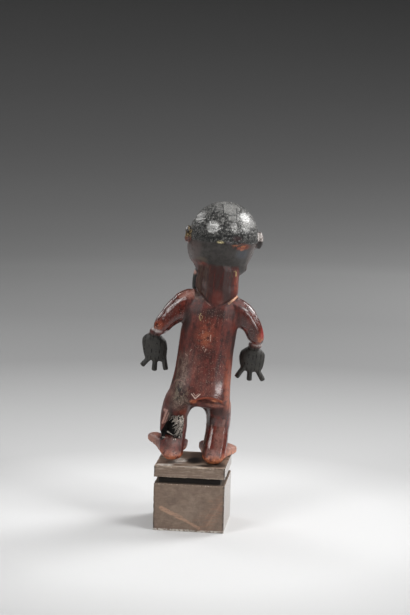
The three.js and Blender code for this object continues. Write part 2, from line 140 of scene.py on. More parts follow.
class Finish:
    """A procedural material and the nodes that paint it."""

    def __init__(self, name, **constants):
        self.material = bpy.data.materials.new(name)
        self.material.use_nodes = True
        self.tree = self.material.node_tree
        self.shader = self.tree.nodes["Principled BSDF"]
        self.colour = (0, 0, 0)
        for socket, value in constants.items():
            self.shader.inputs[socket.replace("_", " ")].default_value = value

    def node(self, kind, settings, sockets, output=0):
        made = self.tree.nodes.new(kind)
        for name, value in settings.items():
            setattr(made, name, value)
        for name, value in sockets.items():
            if isinstance(value, Wire):
                self.tree.links.new(value.socket, made.inputs[name])
            else:
                made.inputs[name].default_value = value
        return Wire(self, made.outputs[output])

    def vectors(self, operation, first, second=(0, 0, 0), output=0):
        sockets = {0: first, 1: second}
        return self.node("ShaderNodeVectorMath", {"operation": operation}, sockets, output)

    def place(self, matrix=Matrix.Scale(1 / MM, 4)):
        """The point on the surface in the axes that the matrix turns the object's into."""
        return self.node("ShaderNodeMapping", {}, {
            "Vector": self.node("ShaderNodeTexCoord", {}, {}, "Object"),
            "Location": matrix.translation,
            "Rotation": matrix.to_euler(),
            "Scale": matrix.to_scale(),
        })

    def parts(self, vector):
        return [self.node("ShaderNodeSeparateXYZ", {}, {"Vector": vector}, axis) for axis in "XYZ"]

    def stretched(self, vector, factors):
        return self.vectors("MULTIPLY", vector, factors)

    def drawn_out(self, vector, factors):
        """The point with its axes scaled, which draws a noise out along the grain."""
        return self.node("ShaderNodeMapping", {}, {"Vector": vector, "Scale": factors})

    def blob(self, vector, middle, radii):
        """1 in the middle of an ellipse seen from behind and 0 outside it, in millimetres."""
        shrink = (1 / radii[0], 0, 1 / radii[1])
        target = (middle[0] / radii[0], 0, middle[1] / radii[1])
        return self.vectors("DISTANCE", self.stretched(vector, shrink), target, "Value").step(1.0, 0.35)

    def stroke(self, flat, start, end, half):
        """1 on a straight stroke seen from behind and 0 beside it. The vector has no depth."""
        run = Vector((end[0] - start[0], 0, end[1] - start[1]))
        length = run.length
        run /= length
        offset = self.vectors("SUBTRACT", flat, (start[0], 0, start[1]))
        along = self.vectors("DOT_PRODUCT", offset, run, "Value")
        nearest = self.node("ShaderNodeVectorMath", {"operation": "SCALE"}, {
            0: run, "Scale": along.most(0).least(length),
        })
        return self.vectors("DISTANCE", offset, nearest, "Value").step(half + 0.25, half * 0.5)

    def patches(self, vector, *table):
        """The strongest at each point of soft ellipses, each a middle, its radii and a strength."""
        total = None
        for middle, radii, strength in table:
            made = self.blob(vector, middle, radii) * strength
            total = total.most(made) if total else made
        return total

    def strokes(self, flat, *table):
        """The strongest at each point of straight strokes, each two ends, a half width and a strength."""
        total = None
        for start, end, half, strength in table:
            made = self.stroke(flat, start, end, half) * strength
            total = total.most(made) if total else made
        return total

    def noise(self, vector, size, detail=3.0, roughness=0.55, warp=0.0):
        """Cloudy values from 0 to 1, with features about as many millimetres across as size says."""
        return self.node("ShaderNodeTexNoise", {}, {
            "Vector": vector, "Scale": 1 / size, "Detail": detail, "Roughness": roughness,
            "Distortion": warp,
        })

    def mix(self, share, first, second):
        """Two colours mixed, each a wire or three numbers."""
        colours = [value if isinstance(value, Wire) else (*value, 1.0) for value in (first, second)]
        sockets = {0: share, 6: colours[0], 7: colours[1]}
        return self.node("ShaderNodeMix", {"data_type": "RGBA"}, sockets, 2)

    def lay(self, share, colour):
        """Lays a colour over the finish so far, as strongly as the share says."""
        self.colour = self.mix(share, self.colour, colour)

    def feed(self, **wires):
        for name, wire in wires.items():
            self.tree.links.new(wire.socket, self.shader.inputs[name.replace("_", " ")])

    def bump(self, *layers):
        """Relief from pairs of a height wire and a depth in millimetres."""
        total = None
        for height, depth in layers:
            total = total + height * depth if total else height * depth
        self.feed(Normal=self.node("ShaderNodeBump", {}, {"Height": total, "Distance": MM, "Strength": 1.0}))


def select_top():
    """Selects the upper face of the block in edit mode."""
    mesh = bmesh.from_edit_mesh(bpy.context.object.data)
    for face in mesh.faces:
        face.select_set(face.normal.z > 0.9)
    bmesh.update_edit_mesh(bpy.context.object.data)


def select_long_edges(shortest):
    """Selects the edges of the mesh in edit mode that are longer than a length."""
    bpy.ops.mesh.select_mode(type="EDGE")
    bpy.ops.mesh.select_all(action="DESELECT")
    mesh = bmesh.from_edit_mesh(bpy.context.object.data)
    for edge in mesh.edges:
        edge.select_set(edge.calc_length() > shortest)
    bmesh.update_edit_mesh(bpy.context.object.data)


def apply_modifier(kind, **settings):
    """Adds a modifier to the active object with its settings and applies it."""
    bpy.ops.object.modifier_add(type=kind)
    modifier = bpy.context.object.modifiers[-1]
    for name, value in settings.items():
        setattr(modifier, name, value)
    bpy.ops.object.modifier_apply(modifier=modifier.name)


def points_of(piece, axes):
    """The vertices of a piece in millimetres, in the given axes."""
    points = np.empty(len(piece.data.vertices) * 3)
    piece.data.vertices.foreach_get("co", points)
    back = np.array(axes.inverted())
    return points.reshape(-1, 3) @ back[:3, :3].T + back[:3, 3]


def group_of(piece, name, weights):
    """A vertex group with a weight for each vertex, from 0 to 1 in tenths."""
    group = piece.vertex_groups.new(name=name)
    for level in range(1, 11):
        chosen = np.nonzero(np.round(weights * 10) == level)[0]
        group.add(chosen.tolist(), level / 10, "REPLACE")
    return group.name


def plinth_corner_distance(plinth):
    """How far each vertex is from the nearest edge of the block or the slab, in millimetres."""
    x, y, z = points_of(plinth, Matrix.Scale(MM, 4)).T
    side_x = plinth_high.x / MM - np.abs(x)
    side_y = plinth_high.y / MM - np.abs(y)
    top = plinth_high.z / MM
    levels = (0, top - (SLAB_THICKNESS + GROOVE_HEIGHT) / MM, top - SLAB_THICKNESS / MM, top)
    level = np.min([np.abs(z - height) for height in levels], axis=0)
    nearest, second = np.sort([side_x, side_y, level], axis=0)[:2]
    return np.abs(nearest) + np.abs(second)


def keep_inside(piece, low, high):
    """Moves the vertices that stand outside a box back onto its faces."""
    points = np.empty(len(piece.data.vertices) * 3)
    piece.data.vertices.foreach_get("co", points)
    points = np.clip(points.reshape(-1, 3), np.array(low), np.array(high))
    piece.data.vertices.foreach_set("co", points.ravel())
    piece.data.update()


def make_plinth():
    width, depth, height = plinth_high - plinth_low
    block_height = height - SLAB_THICKNESS - GROOVE_HEIGHT
    bpy.ops.mesh.primitive_cube_add(
        size=1, location=(0, 0, block_height / 2), scale=(width, depth, block_height),
    )
    plinth = bpy.context.object
    plinth.name = "grooved_plinth"
    bpy.ops.object.transform_apply(location=True, rotation=True, scale=True)
    bpy.ops.object.mode_set(mode="EDIT")
    select_top()
    bpy.ops.mesh.inset(thickness=GROOVE_RECESS)
    bpy.ops.mesh.extrude_region_move(TRANSFORM_OT_translate={"value": (0, 0, GROOVE_HEIGHT)})
    bpy.ops.mesh.extrude_region_move(TRANSFORM_OT_translate={"value": (0, 0, 0)})
    grow_x = width / (width - 2 * GROOVE_RECESS)
    grow_y = depth / (depth - 2 * GROOVE_RECESS)
    bpy.ops.transform.resize(value=(grow_x, grow_y, 1))
    bpy.ops.mesh.extrude_region_move(TRANSFORM_OT_translate={"value": (0, 0, SLAB_THICKNESS)})
    bpy.ops.mesh.select_all(action="SELECT")
    bpy.ops.mesh.normals_make_consistent(inside=False)
    bpy.ops.object.mode_set(mode="OBJECT")
    apply_modifier("BEVEL", width=ARRIS, segments=2, limit_method="ANGLE", angle_limit=BEVEL_ANGLE)
    bpy.ops.object.mode_set(mode="EDIT")
    select_long_edges(LONG_EDGE)
    bpy.ops.mesh.subdivide(number_cuts=GRID_CUTS)
    bpy.ops.object.mode_set(mode="OBJECT")
    nicks = bpy.data.textures.new("plinth_nicks", "CLOUDS")
    nicks.noise_scale = NICK_SIZE
    nicks.noise_depth = 1
    nicks.contrast = 3
    nicks.intensity = 0.6
    weights = np.clip(1.4 - plinth_corner_distance(plinth) / NICK_REACH, 0, 1)
    apply_modifier("DISPLACE", texture=nicks, texture_coords="GLOBAL", strength=-NICK_DEPTH, mid_level=0.0,
                   vertex_group=group_of(plinth, "corners", weights))
    keep_inside(plinth, plinth_low, plinth_high)
    bpy.ops.object.shade_smooth_by_angle(angle=SMOOTH_ANGLE)
    return plinth


def seen_from_above(place):
    """The point with its run along y in the place of its height, for patches on level faces."""
    finish = place.finish
    return finish.node("ShaderNodeMapping", {}, {"Vector": place, "Rotation": (radians(90), 0, 0)})


def finish_plinth():
    finish = Finish("stained_wood", Specular_IOR_Level=0.5)
    place = finish.place()
    x, y, z = finish.parts(place)
    flat = finish.stretched(place, (1, 0, 1))
    grain = finish.noise(finish.drawn_out(place, (0.16, 1, 1)), 1.1, detail=4)
    cloud = finish.noise(place, 17, detail=2)
    stain = finish.noise(place, 6, detail=4, warp=0.6)
    speck = finish.noise(place, 0.9, detail=3)
    blotched = (grain * 0.35 + speck * 0.3 + stain * 0.35).step(0.36, 0.64)
    finish.colour = finish.mix(blotched, STAIN_DARK, STAIN)
    finish.lay((stain * 0.5 + cloud * 0.5).step(0.45, 0.68) * 0.12, STAIN_PALE)
    half_x, half_y, top = plinth_high.x / MM, plinth_high.y / MM, plinth_high.z / MM
    slab_foot = top - SLAB_THICKNESS / MM
    block_top = slab_foot - GROOVE_HEIGHT / MM
    side_x = half_x - x.size()
    side_y = half_y - y.size()
    level = (top - z).least(z).least((z - slab_foot).size()).least((z - block_top).size())
    corner = (side_x + side_y).least(side_x + level).least(side_y + level)
    behind = y.step(half_y - 1.5, half_y - 0.8)
    slanted = finish.node("ShaderNodeMapping", {}, {
        "Vector": place, "Rotation": (0, BRUSH_ANGLE, 0), "Scale": (0.14, 1, 1),
    })
    brushed = finish.noise(slanted, 1.4, detail=3)
    brushing = finish.strokes(flat, *BRUSHING) * behind
    finish.lay(brushing * brushed.step(0.46, 0.58) * 0.6, STAIN_RED)
    finish.lay(brushing * brushed.step(0.40, 0.30) * 0.4, STAIN_DARK)
    worn = corner.step(1.3, 0.3) * speck.step(0.42, 0.62)
    finish.lay(worn * 0.35, STAIN_PALE)
    dark_edge = (side_x + side_y).step(1.7, 0.5) * (stain.step(0.6, 0.42) * 0.5 + 0.3)
    finish.lay(dark_edge, DIRT_AND_SHADE)
    upper_face = z.step(top - 0.5, top - 0.1)
    waves = finish.noise(finish.drawn_out(place, (0.12, 1, 1)), 2.2, detail=4, warp=1.2)
    # Wavy pale bands along the top's back and left edges are partly wear and partly painted light.
    worn_and_lit = (y + stain * 16).step(12, 30).most((x + stain * 12).step(20, 30)) * waves.step(0.42, 0.6)
    finish.lay(upper_face * worn_and_lit * 0.75, STAIN_PALE)
    finish.lay(upper_face * x.step(4, -12) * stain.step(0.6, 0.4) * 0.55, DIRT_AND_SHADE)
    from_above = seen_from_above(place)
    # Painted shadows of the feet, with some grime, darken the top round the heels.
    shade = finish.patches(from_above, *HEEL_SHADOW_AND_GRIME)
    finish.lay(shade * upper_face * stain.step(0.2, 0.42), DIRT_AND_SHADE)
    # Pale patches round the left heel and along the back edge are partly dust and partly painted light.
    dust_and_light = finish.patches(from_above, *HEEL_DUST_AND_LIGHT)
    dust_and_light = dust_and_light * (speck * 0.3 + waves * 0.4 + stain * 0.3).step(0.42, 0.56)
    finish.lay(dust_and_light * upper_face, PALE_DUST_AND_LIGHT)
    laid = finish.noise(finish.drawn_out(place, (0.05, 1, 1)), 0.8, detail=3, warp=1.5)
    slab = z.step(slab_foot, slab_foot + 0.4) * (1 - upper_face)
    finish.lay(slab * laid.step(0.52, 0.64) * 0.35, STAIN_PALE)
    finish.lay(slab * laid.step(0.44, 0.36) * 0.5, STAIN_DARK)
    rub = finish.strokes(flat, (RUB_START, RUB_MIDDLE, 2.0, 0.85), (RUB_MIDDLE, RUB_END, 1.3, 0.7))
    rub = rub * behind * (speck * 0.35 + brushed * 0.65).step(0.34, 0.56)
    glancing = finish.strokes(flat, *GLANCING_RUBS)
    finish.lay(glancing * behind * speck.step(0.3, 0.6), RUB_COLOUR)
    finish.lay(rub, RUB_COLOUR)
    # The groove's walls and ledge are painted near black, as the shade that fills the saw cut.
    groove = z.step(block_top - 0.5, block_top + 0.4) * z.step(slab_foot + 0.3, slab_foot - 0.3)
    inner = groove * side_x.least(side_y).step(0.4, 1.2)
    finish.lay(inner * 0.96, DIRT_AND_SHADE)
    low = z.step(2.1, 1.2) * (speck * 0.6 + stain * 0.4).step(0.46, 0.52)
    nicked = (corner.step(0.9, 0.4) * speck.step(0.64, 0.72)).most(low * 0.8)
    finish.lay(nicked, PALE_DUST_AND_LIGHT)
    waxed = x.step(0.6 - half_x, 0.2 - half_x)
    rough = (0.3 + stain * 0.2) * (1 - waxed * 0.75) + inner * 0.5
    finish.feed(Base_Color=finish.colour, Roughness=rough.least(0.95))
    finish.bump((grain, 0.03), (speck, 0.035))
    return finish.material


plinth = make_plinth()
plinth.data.materials.clear()
plinth.data.materials.append(finish_plinth())
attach(plinth, "root")
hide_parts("plinth")


# The figure is carved from one block of dark hardwood with a knife, which leaves long flat
# facets down its neck, arms and legs, and it stands a little askew on its plinth.
LEAN = radians(6.3)
TURN = radians(6.1)
SOLES = Vector((0.5, -3, 51.6))
STAND = Matrix.Translation(SOLES) @ Matrix.Rotation(TURN, 4, "Z") @ Matrix.Rotation(-LEAN, 4, "Y")
BODY = Matrix.Scale(MM, 4) @ STAND
VOXEL = 0.66 * MM


def make_blank():
    """A copy of the figure's solid, welded, as the blank that is carved further."""
    blank = bpy.data.objects.new("ancestor_figure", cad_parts["figure"].data.copy())
    bpy.context.scene.collection.objects.link(blank)
    blank.data.materials.clear()
    bpy.ops.object.select_all(action="DESELECT")
    bpy.context.view_layer.objects.active = blank
    blank.select_set(True)
    bpy.ops.object.mode_set(mode="EDIT")
    bpy.ops.mesh.select_all(action="SELECT")
    bpy.ops.mesh.remove_doubles(threshold=0.001 * MM)
    bpy.ops.object.mode_set(mode="OBJECT")
    return blank


figure = make_blank()

# The head is turned and tilted a little on the neck. Its face is calm and plain, with lidded
# almond eyes, straight brows and closed lips, and each ear is a knob with a raised rim.
HEAD_PIVOT = 171.4
HEAD = (
    Matrix.Translation((-0.3, 0, HEAD_PIVOT)) @ Matrix.Rotation(radians(5), 4, "Z")
    @ Matrix.Rotation(radians(3.5), 4, "Y") @ Matrix.Translation((0, 0, -HEAD_PIVOT))
)
HEAD_ON_BODY = BODY @ HEAD
EYE = Vector((9.6, -23.4, 166.5))
EAR = Vector((27.6, 1.5, 171))
CHEEK_TURN = radians(22)
BROW_TILT = radians(5)
LID_THICKNESS = 0.2
EAR_RIM_THICKNESS = 0.28


def settle(piece, axes, name):
    """Puts a fresh primitive, made in the millimetres of the given axes, in its place on the object."""
    bpy.ops.object.transform_apply(location=True, rotation=True, scale=True)
    piece.data.transform(axes)
    piece.name = name
    return piece


def add_ball(name, place, size, turn=(0, 0, 0)):
    """An ellipsoid in the head's millimetres."""
    bpy.ops.mesh.primitive_uv_sphere_add(
        segments=32, ring_count=16, radius=1, location=place, scale=size, rotation=turn,
    )
    return settle(bpy.context.object, HEAD_ON_BODY, name)


def add_ring(name, place, size, thickness, turn=(0, 0, 0)):
    """A ring in the head's millimetres, as thick as a share of its size."""
    bpy.ops.mesh.primitive_torus_add(
        major_segments=40, minor_segments=10, major_radius=1, minor_radius=thickness,
        location=place, rotation=turn,
    )
    bpy.context.object.scale = size
    return settle(bpy.context.object, HEAD_ON_BODY, name)


def join_onto(base, pieces):
    bpy.ops.object.select_all(action="DESELECT")
    for piece in pieces:
        piece.select_set(True)
    base.select_set(True)
    bpy.context.view_layer.objects.active = base
    bpy.ops.object.join()


features = []
for side in (1, -1):
    eye = Vector((side * EYE.x, EYE.y, EYE.z))
    ear = (side * EAR.x, EAR.y, EAR.z)
    cheek_turn = side * CHEEK_TURN
    brow = eye + Vector((0.2 * side, 0.7, 5.0))
    features += [
        add_ball("eyeball", eye + Vector((0, 1.6, 0)), (4.6, 3.4, 2.3)),
        add_ring("lids", eye, (5.6, 3.0, 3.2), LID_THICKNESS, (pi / 2, 0, cheek_turn)),
        add_ball("brow", brow, (7.2, 2.6, 1.3), (0, side * BROW_TILT, cheek_turn)),
        add_ball("cheek", (side * 12, -16.6, 156.5), (7, 6, 7.5)),
        add_ball("nostril_wing", (side * 3.1, -26.3, 158.4), (2.0, 2.4, 1.8)),
        add_ring("ear_rim", ear, (5.2, 3.7, 3.6), EAR_RIM_THICKNESS, (0, pi / 2, 0)),
    ]
features += [
    add_ball("nose_tip", (0, -29.2, 159.2), (2.7, 2.6, 2.2)),
    add_ball("upper_lip", (0.6, -24.4, 152.6), (6.8, 1.9, 1.25)),
    add_ball("lower_lip", (0.6, -24.4, 150.2), (5.6, 1.9, 1.3)),
]

join_onto(figure, features)
apply_modifier("REMESH", mode="VOXEL", voxel_size=VOXEL, use_smooth_shade=True)

# The carver's knife rounded the forms once they were roughed out. The arrises are worn soft,
# the neck and heels stand a little fuller, and grooves comb the beard.
NECK_SHIFT = 1.3
JAW_SHIFT = 0.9
EAR_LIFT = 2.2
SHOULDER_RISE = 3.2
HEELS = ((17, 4.4, 2.6), (-14.5, 2.2, 2.0))
NAPE = ((15.6, 130.5), (-0.7, 118.2), (-16.2, 128.6))
SEAT_MIDDLE = -5.8
SEAT_TOP = 51.1
SEAT_CURVE = 0.03
HAIR_FOOT = 168
BEARD_GROOVE_SPACING = 2.9
KNIFE_WAVE_SIZE = 11 * MM
KNIFE_WAVE_DEPTH = 0.5 * MM


def push_points(piece, moves, axes):
    """Moves the vertices of a piece by millimetres in the given axes."""
    points = np.empty(len(piece.data.vertices) * 3)
    piece.data.vertices.foreach_get("co", points)
    points = points.reshape(-1, 3) + moves @ np.array(axes)[:3, :3].T
    piece.data.vertices.foreach_set("co", points.ravel())
    piece.data.update()


def normals_of(piece, axes):
    normals = np.empty(len(piece.data.vertices) * 3)
    piece.data.vertices.foreach_get("normal", normals)
    turned = normals.reshape(-1, 3) @ np.array(axes)[:3, :3]
    return turned / np.linalg.norm(turned, axis=1, keepdims=True)


def soft_step(value, low, high):
    share = np.clip((value - low) / (high - low), 0, 1)
    return share * share * (3 - 2 * share)


def swelling(points, middle, radii):
    """1 at the middle of an ellipsoid and 0 outside it, for each point."""
    away = (((points - np.array(middle)) / np.array(radii)) ** 2).sum(axis=1)
    return soft_step(away, 1, 0)


def inside_break(x, y, z):
    """How deep a point is in the broken pocket behind the left calf, in millimetres, by its outline."""
    inner = x - 10.6 + 0.9 * (z - 17).clip(None, 0)
    outer = np.minimum(27.8 - x, 0.86 * (26.4 - x) + 0.5 * (21.5 - z))
    outer = np.where(z < 18, 28.5 - x, outer)
    foot = 14.8 - 2.6 * soft_step(x, 23, 25.5)
    ends = (z - foot).clip(None, 33.0 - z)
    return np.minimum(np.minimum(inner, outer), ends) * (y > -0.5)


def on_digits(x, z):
    return (np.abs(x) > 24) & (z > 56) & (z < 72)


def ease_facets():
    """The knife's arrises are worn soft everywhere but on the hair, the face, the digits and the break."""
    x, y, z = points_of(figure, BODY).T
    weights = np.full(len(x), 1.0)
    weights[z > HAIR_FOOT] = 0.3
    weights[(z > 138) & (y < -15)] = 0.2
    weights[on_digits(x, z)] = 0.1
    weights[(z < 14) & (y < -14)] = 0.2
    weights[inside_break(x, y, z) > -0.6] = 0.1
    apply_modifier("SMOOTH", factor=0.6, iterations=4, vertex_group=group_of(figure, "worn", weights))
    torso = soft_step(z, 44, 50) * soft_step(z, 114, 107) * soft_step(np.abs(x), 25, 21)
    apply_modifier("SMOOTH", factor=0.8, iterations=24, vertex_group=group_of(figure, "torso", torso))
    hip = soft_step(x, 6, 10) * soft_step(y, 2, 6) * soft_step(z, 34, 36) * soft_step(z, 60, 52)
    armpits = soft_step(np.abs(x), 14, 17) * soft_step(np.abs(x), 30, 26) * soft_step(y, 3, 6)
    armpits = armpits * soft_step(z, 100, 104) * soft_step(z, 124, 119)
    crotch = soft_step(np.abs(x - 1.5), 10, 8) * soft_step(z, 28, 30) * soft_step(z, 42, 40)
    crotch = crotch * soft_step(y, 12, 9)
    knee = soft_step(x, 3, 0) * soft_step(z, 28, 31) * soft_step(z, 43, 41) * 0.7
    blended = np.maximum.reduce([hip, armpits * 0.8, crotch, knee])
    apply_modifier("SMOOTH", factor=0.8, iterations=40, vertex_group=group_of(figure, "blended", blended))


def shift_forms():
    """Moves whole forms a little: the neck and jaw aside, one shoulder up, the heels back and round."""
    points = points_of(figure, BODY)
    x, y, z = points.T
    moves = np.zeros_like(points)
    moves[:, 0] -= NECK_SHIFT * soft_step(z, 123, 131) * soft_step(z, 153, 147) * soft_step(y, -11, -8)
    moves[:, 0] += JAW_SHIFT * soft_step(z, 148, 153) * soft_step(z, 169, 163)
    moves[:, 2] += SHOULDER_RISE * swelling(points, (22, 0, 122), (11, 12, 12))
    moves[:, 2] += 1.5 * swelling(points, (34, 2, 116), (10, 12, 9))
    low = soft_step(z, 13, 3) * soft_step(y, 6, 15)
    for middle, back, lift in HEELS:
        near = soft_step(np.abs(x - middle), 14, 11)
        moves[:, 1] += back * low * near
        corner = np.clip(((x - middle) / 8.5) ** 2, 0, 1)
        moves[:, 2] += lift * corner * near * soft_step(z, 7, 0) * soft_step(y, 2, 10)
    left_leg = x > 4
    moves[:, 0] -= 1.1 * soft_step(z, 32, 22) * soft_step(x, 16, 11.5) * left_leg
    moves[:, 0] -= 1.2 * soft_step(x, 12, 8) * soft_step(y, -2, -8) * soft_step(z, 22, 14) * left_leg
    moves[:, 2] += 1.5 * soft_step(x, 25, 31) * soft_step(z, 24, 16)
    push_points(figure, moves, BODY)
    points = points_of(figure, HEAD_ON_BODY)
    lift = np.zeros_like(points)
    lift[:, 2] = EAR_LIFT * swelling(points, (EAR.x + 1, EAR.y, EAR.z), (5, 11, 13)) ** 0.4
    push_points(figure, lift * (points[:, :1] > 24.5), HEAD_ON_BODY)


def carve_nape():
    """The neck ends behind in a wedge that stands proud of the shoulders, with a cut along its edges."""
    points = points_of(figure, BODY)
    x, y, z = points.T
    normals = normals_of(figure, BODY)
    left, tip, right = NAPE
    behind = soft_step(y, -3, 4)
    nearest = np.full(len(x), 1e3)
    for start, end in zip(NAPE, NAPE[1:]):
        run = np.array(end) - np.array(start)
        share = (((x - start[0]) * run[0] + (z - start[1]) * run[1]) / (run @ run)).clip(0, 1)
        nearest = np.minimum(nearest, np.hypot(x - start[0] - share * run[0], z - start[1] - share * run[1]))
    across = np.where(x > tip[0], (x - tip[0]) / (left[0] - tip[0]), (x - tip[0]) / (right[0] - tip[0]))
    edge = tip[1] + across * np.where(x > tip[0], left[1] - tip[1], right[1] - tip[1])
    wedge = soft_step(z - edge, 0, 2.5) * soft_step(z - edge, 14, 6) * (across < 1)
    cut = soft_step(nearest, 1.6, 0.2) * soft_step(np.abs(x - tip[0]), 1, 8)
    push_points(figure, normals * ((0.9 * wedge - 0.6 * cut) * behind)[:, None], BODY)


def carve_seat():
    """The buttocks end below in a crisp ridge that overhangs the thighs."""
    x, y, z = points_of(figure, BODY).T
    below = z - (SEAT_TOP - SEAT_CURVE * (x - SEAT_MIDDLE) ** 2)
    across = soft_step(x, -19, -15) * soft_step(x, 10, 6) * soft_step(y, 2, 6)
    ridge = 0.7 * soft_step(below, -0.2, 0.5) * soft_step(below, 3.5, 1)
    ridge = ridge - 0.6 * soft_step(below, 0, -0.8) * soft_step(below, -4, -1)
    push_points(figure, normals_of(figure, BODY) * (ridge * across)[:, None], BODY)


def carve_beard():
    """Upright grooves comb the beard's front and sides."""
    x, y, z = points_of(figure, HEAD_ON_BODY).T
    normals = normals_of(figure, HEAD_ON_BODY)
    around = np.where(np.abs(normals[:, 0]) > 0.7, y, x)
    within = soft_step(z, 126.5, 128.5) * soft_step(z, 148.5, 146)
    within = within * soft_step(y, -11, -13) * (np.abs(x - 2) < 19)
    level = 1 - np.abs(normals[:, 2])
    groove = 0.5 + 0.5 * np.cos(around * 2 * pi / BEARD_GROOVE_SPACING)
    push_points(figure, -normals * (0.55 * groove * within * level)[:, None], HEAD_ON_BODY)


def uneven_surface():
    """Broad shallow unevenness that the knife leaves between the facets."""
    x, y, z = points_of(figure, BODY).T
    weights = np.where(on_digits(x, z) | (z > HAIR_FOOT), 0.3, 1.0)
    waves = bpy.data.textures.new("knife_waves", "CLOUDS")
    waves.noise_scale = KNIFE_WAVE_SIZE
    waves.noise_depth = 1
    apply_modifier("DISPLACE", texture=waves, texture_coords="GLOBAL", strength=KNIFE_WAVE_DEPTH,
                   mid_level=0.5, vertex_group=group_of(figure, "uneven", weights))


ease_facets()
shift_forms()
carve_nape()
carve_seat()
carve_beard()
uneven_surface()

# The hair is a cap of thick black skin, cut in flat facets that shine where they stand proud,
# and crazed into rough chips between them. Its rim is chipped behind.
RIM = 169.4
CAP_RADIUS = 26.4
CAP_MIDDLE = (0, -0.3, 171.4)
CROWN_RISE = 1.2
CHIP_SIZE = 2.1 * MM
CHIP_HEIGHT = 1.1 * MM
CUT_ROWS = ((12, 7), (36, 6), (62, 4))
cuts = [
    (63, 22, 5.2, 1.0), (98, 60, 6.2, 0.75), (103, 42, 4.6, 0.75), (132, 40, 5.4, 1.0), (126, 25, 4.6, 0.75),
    (146, 30, 4.6, 0.6), (100, 26, 3.0, 0.7), (103, 17, 2.2, 0.5), (22, 37, 5.4, 0.65), (58, 59, 4.6, 0.45),
    (45, 77, 4.4, 0.5), (120, 64, 4.0, 0.55),
]
knife_dice = random.Random(5)
for elevation, count in CUT_ROWS:
    for index in range(count):
        azimuth = 175 + (index + knife_dice.uniform(0.2, 0.8)) * 200 / count
        cuts.append((azimuth, elevation, knife_dice.uniform(3.2, 4.8), knife_dice.uniform(0.2, 0.9)))


def outward_of(points):
    """The distance of each point from the middle of the cap, and its direction."""
    away = points - np.array(CAP_MIDDLE)
    distance = np.linalg.norm(away, axis=1)
    return distance, away / distance[:, None]


def facing_of(azimuth, elevation):
    rise = radians(elevation)
    turn = radians(azimuth)
    return np.array((cos(rise) * cos(turn), cos(rise) * sin(turn), sin(rise)))


def hair_share(points):
    """1 on the hair and 0 on the skull and the ears."""
    distance = outward_of(points)[0]
    beside = (np.abs(points[:, 1] - EAR.y) < 9) & (points[:, 2] < EAR.z + 9)
    ear = soft_step(np.abs(points[:, 0]), 24, 25.5) * beside
    front = soft_step(points[:, 1] + 7 + (points[:, 2] - RIM) * 1.6, 0, 1.5)
    return soft_step(points[:, 2], RIM + 0.2, RIM + 1) * soft_step(distance, 23.6, 25) * (1 - ear) * front


def cut_hair():
    """The cap is swelled round, and then planed flat at each cut."""
    points = points_of(figure, HEAD_ON_BODY)
    distance, outward = outward_of(points)
    hair = hair_share(points)
    full = CAP_RADIUS + CROWN_RISE * outward[:, 2].clip(0, 1) ** 2
    grown = distance + (full - distance) * hair * 0.85
    for azimuth, elevation, radius, polish in cuts:
        towards = outward @ facing_of(azimuth, elevation)
        top = CAP_RADIUS + CROWN_RISE * sin(radians(elevation)) ** 2
        flat = sqrt(top * top - radius * radius)
        above = (grown * towards - flat).clip(0, 1.5) * (towards > 0.8)
        grown -= above / towards.clip(0.8, 1) * hair
    push_points(figure, outward * (grown - distance)[:, None], HEAD_ON_BODY)


def polish_of(points):
    """How polished the hair is at each vertex."""
    outward = outward_of(points)[1]
    shine = np.zeros(len(points))
    for azimuth, elevation, radius, polish in cuts:
        towards = outward @ facing_of(azimuth, elevation)
        lateral = CAP_RADIUS * np.sqrt((1 - towards * towards).clip(0, 1)) + 9 * (towards < 0.7)
        shine = np.maximum(shine, polish * soft_step(lateral, radius + 0.3, radius - 0.9))
    return shine * hair_share(points)


def craze_hair():
    """The skin's chips stand up a little round the polished facets."""
    points = points_of(figure, HEAD_ON_BODY)
    rough = hair_share(points) * (1 - polish_of(points)).clip(0, 1)
    chips = bpy.data.textures.new("hair_chips", "CLOUDS")
    chips.noise_scale = CHIP_SIZE
    chips.noise_depth = 2
    apply_modifier("DISPLACE", texture=chips, texture_coords="GLOBAL", strength=CHIP_HEIGHT, mid_level=0.45,
                   vertex_group=group_of(figure, "crazed", rough))


cut_hair()
craze_hair()

# The left calf has broken open at its back. Pale torn fibres stand along the rim and lie in
# tufts over the shallow inner side of the pocket.
BREAK_SHALLOW = Vector((11, 8.5, 33))
BREAK_RISE = Vector((-0.5, 0.08))
BREAK_FLOOR = 1.5
FACES_KEPT = 0.78
FIBRE_TUFTS = (
    (44, (12.5, 20), (26.5, 32.6), (0.8, 3.6), (2, 4.5), (-0.9, 1.3), (0.22, 0.55)),
    (26, (11.4, 15.5), (18, 27), (0.6, 2.8), (2.5, 5.5), (-0.5, 1.1), (0.18, 0.4)),
    (7, (14, 18), (23, 30), (0.8, 3.0), (3, 5.5), (0.1, 1.1), (0.15, 0.3)),
)
BREAK_RIM_SPLINTERS = 16
BREAK_RIM_START = 14
BREAK_RIM_SPACING = 0.74
BREAK_RIM_HEIGHT = 14.2
SMOOTHING_ROUNDS = 8
SPLINTER_MARKS = (("proud", 0.1), ("polish", 0), ("chipped", 0), ("torn", 2))
fibre_dice = random.Random(11)


def tear_break():
    """Long splintered ridges run down the inside of the break, along the grain."""
    x, y, z = points_of(figure, BODY).T
    normals = normals_of(figure, BODY)
    surface = soft_step(inside_break(x, y, z), 0.2, 1.2) * soft_step(y, 12, 9)
    ridges = np.sin(x * 4.1 + 0.5 * np.sin(z * 0.55)) * 0.5
    ridges = ridges + np.sin(x * 7.7 + z * 0.4 + 1.7 * np.sin(z * 0.3)) * 0.35
    steps = np.sin(z * 0.9 + 2.2 * np.sin(x * 1.3)) * 0.4
    push_points(figure, normals * ((ridges + steps) * surface * 0.8)[:, None], BODY)


def torn_floor(x, z):
    """How far back the torn floor lies at a place of the pocket."""
    rise = BREAK_RISE.x * (x - BREAK_SHALLOW.x) + BREAK_RISE.y * (z - BREAK_SHALLOW.z)
    return max(BREAK_SHALLOW.y + rise, BREAK_FLOOR)


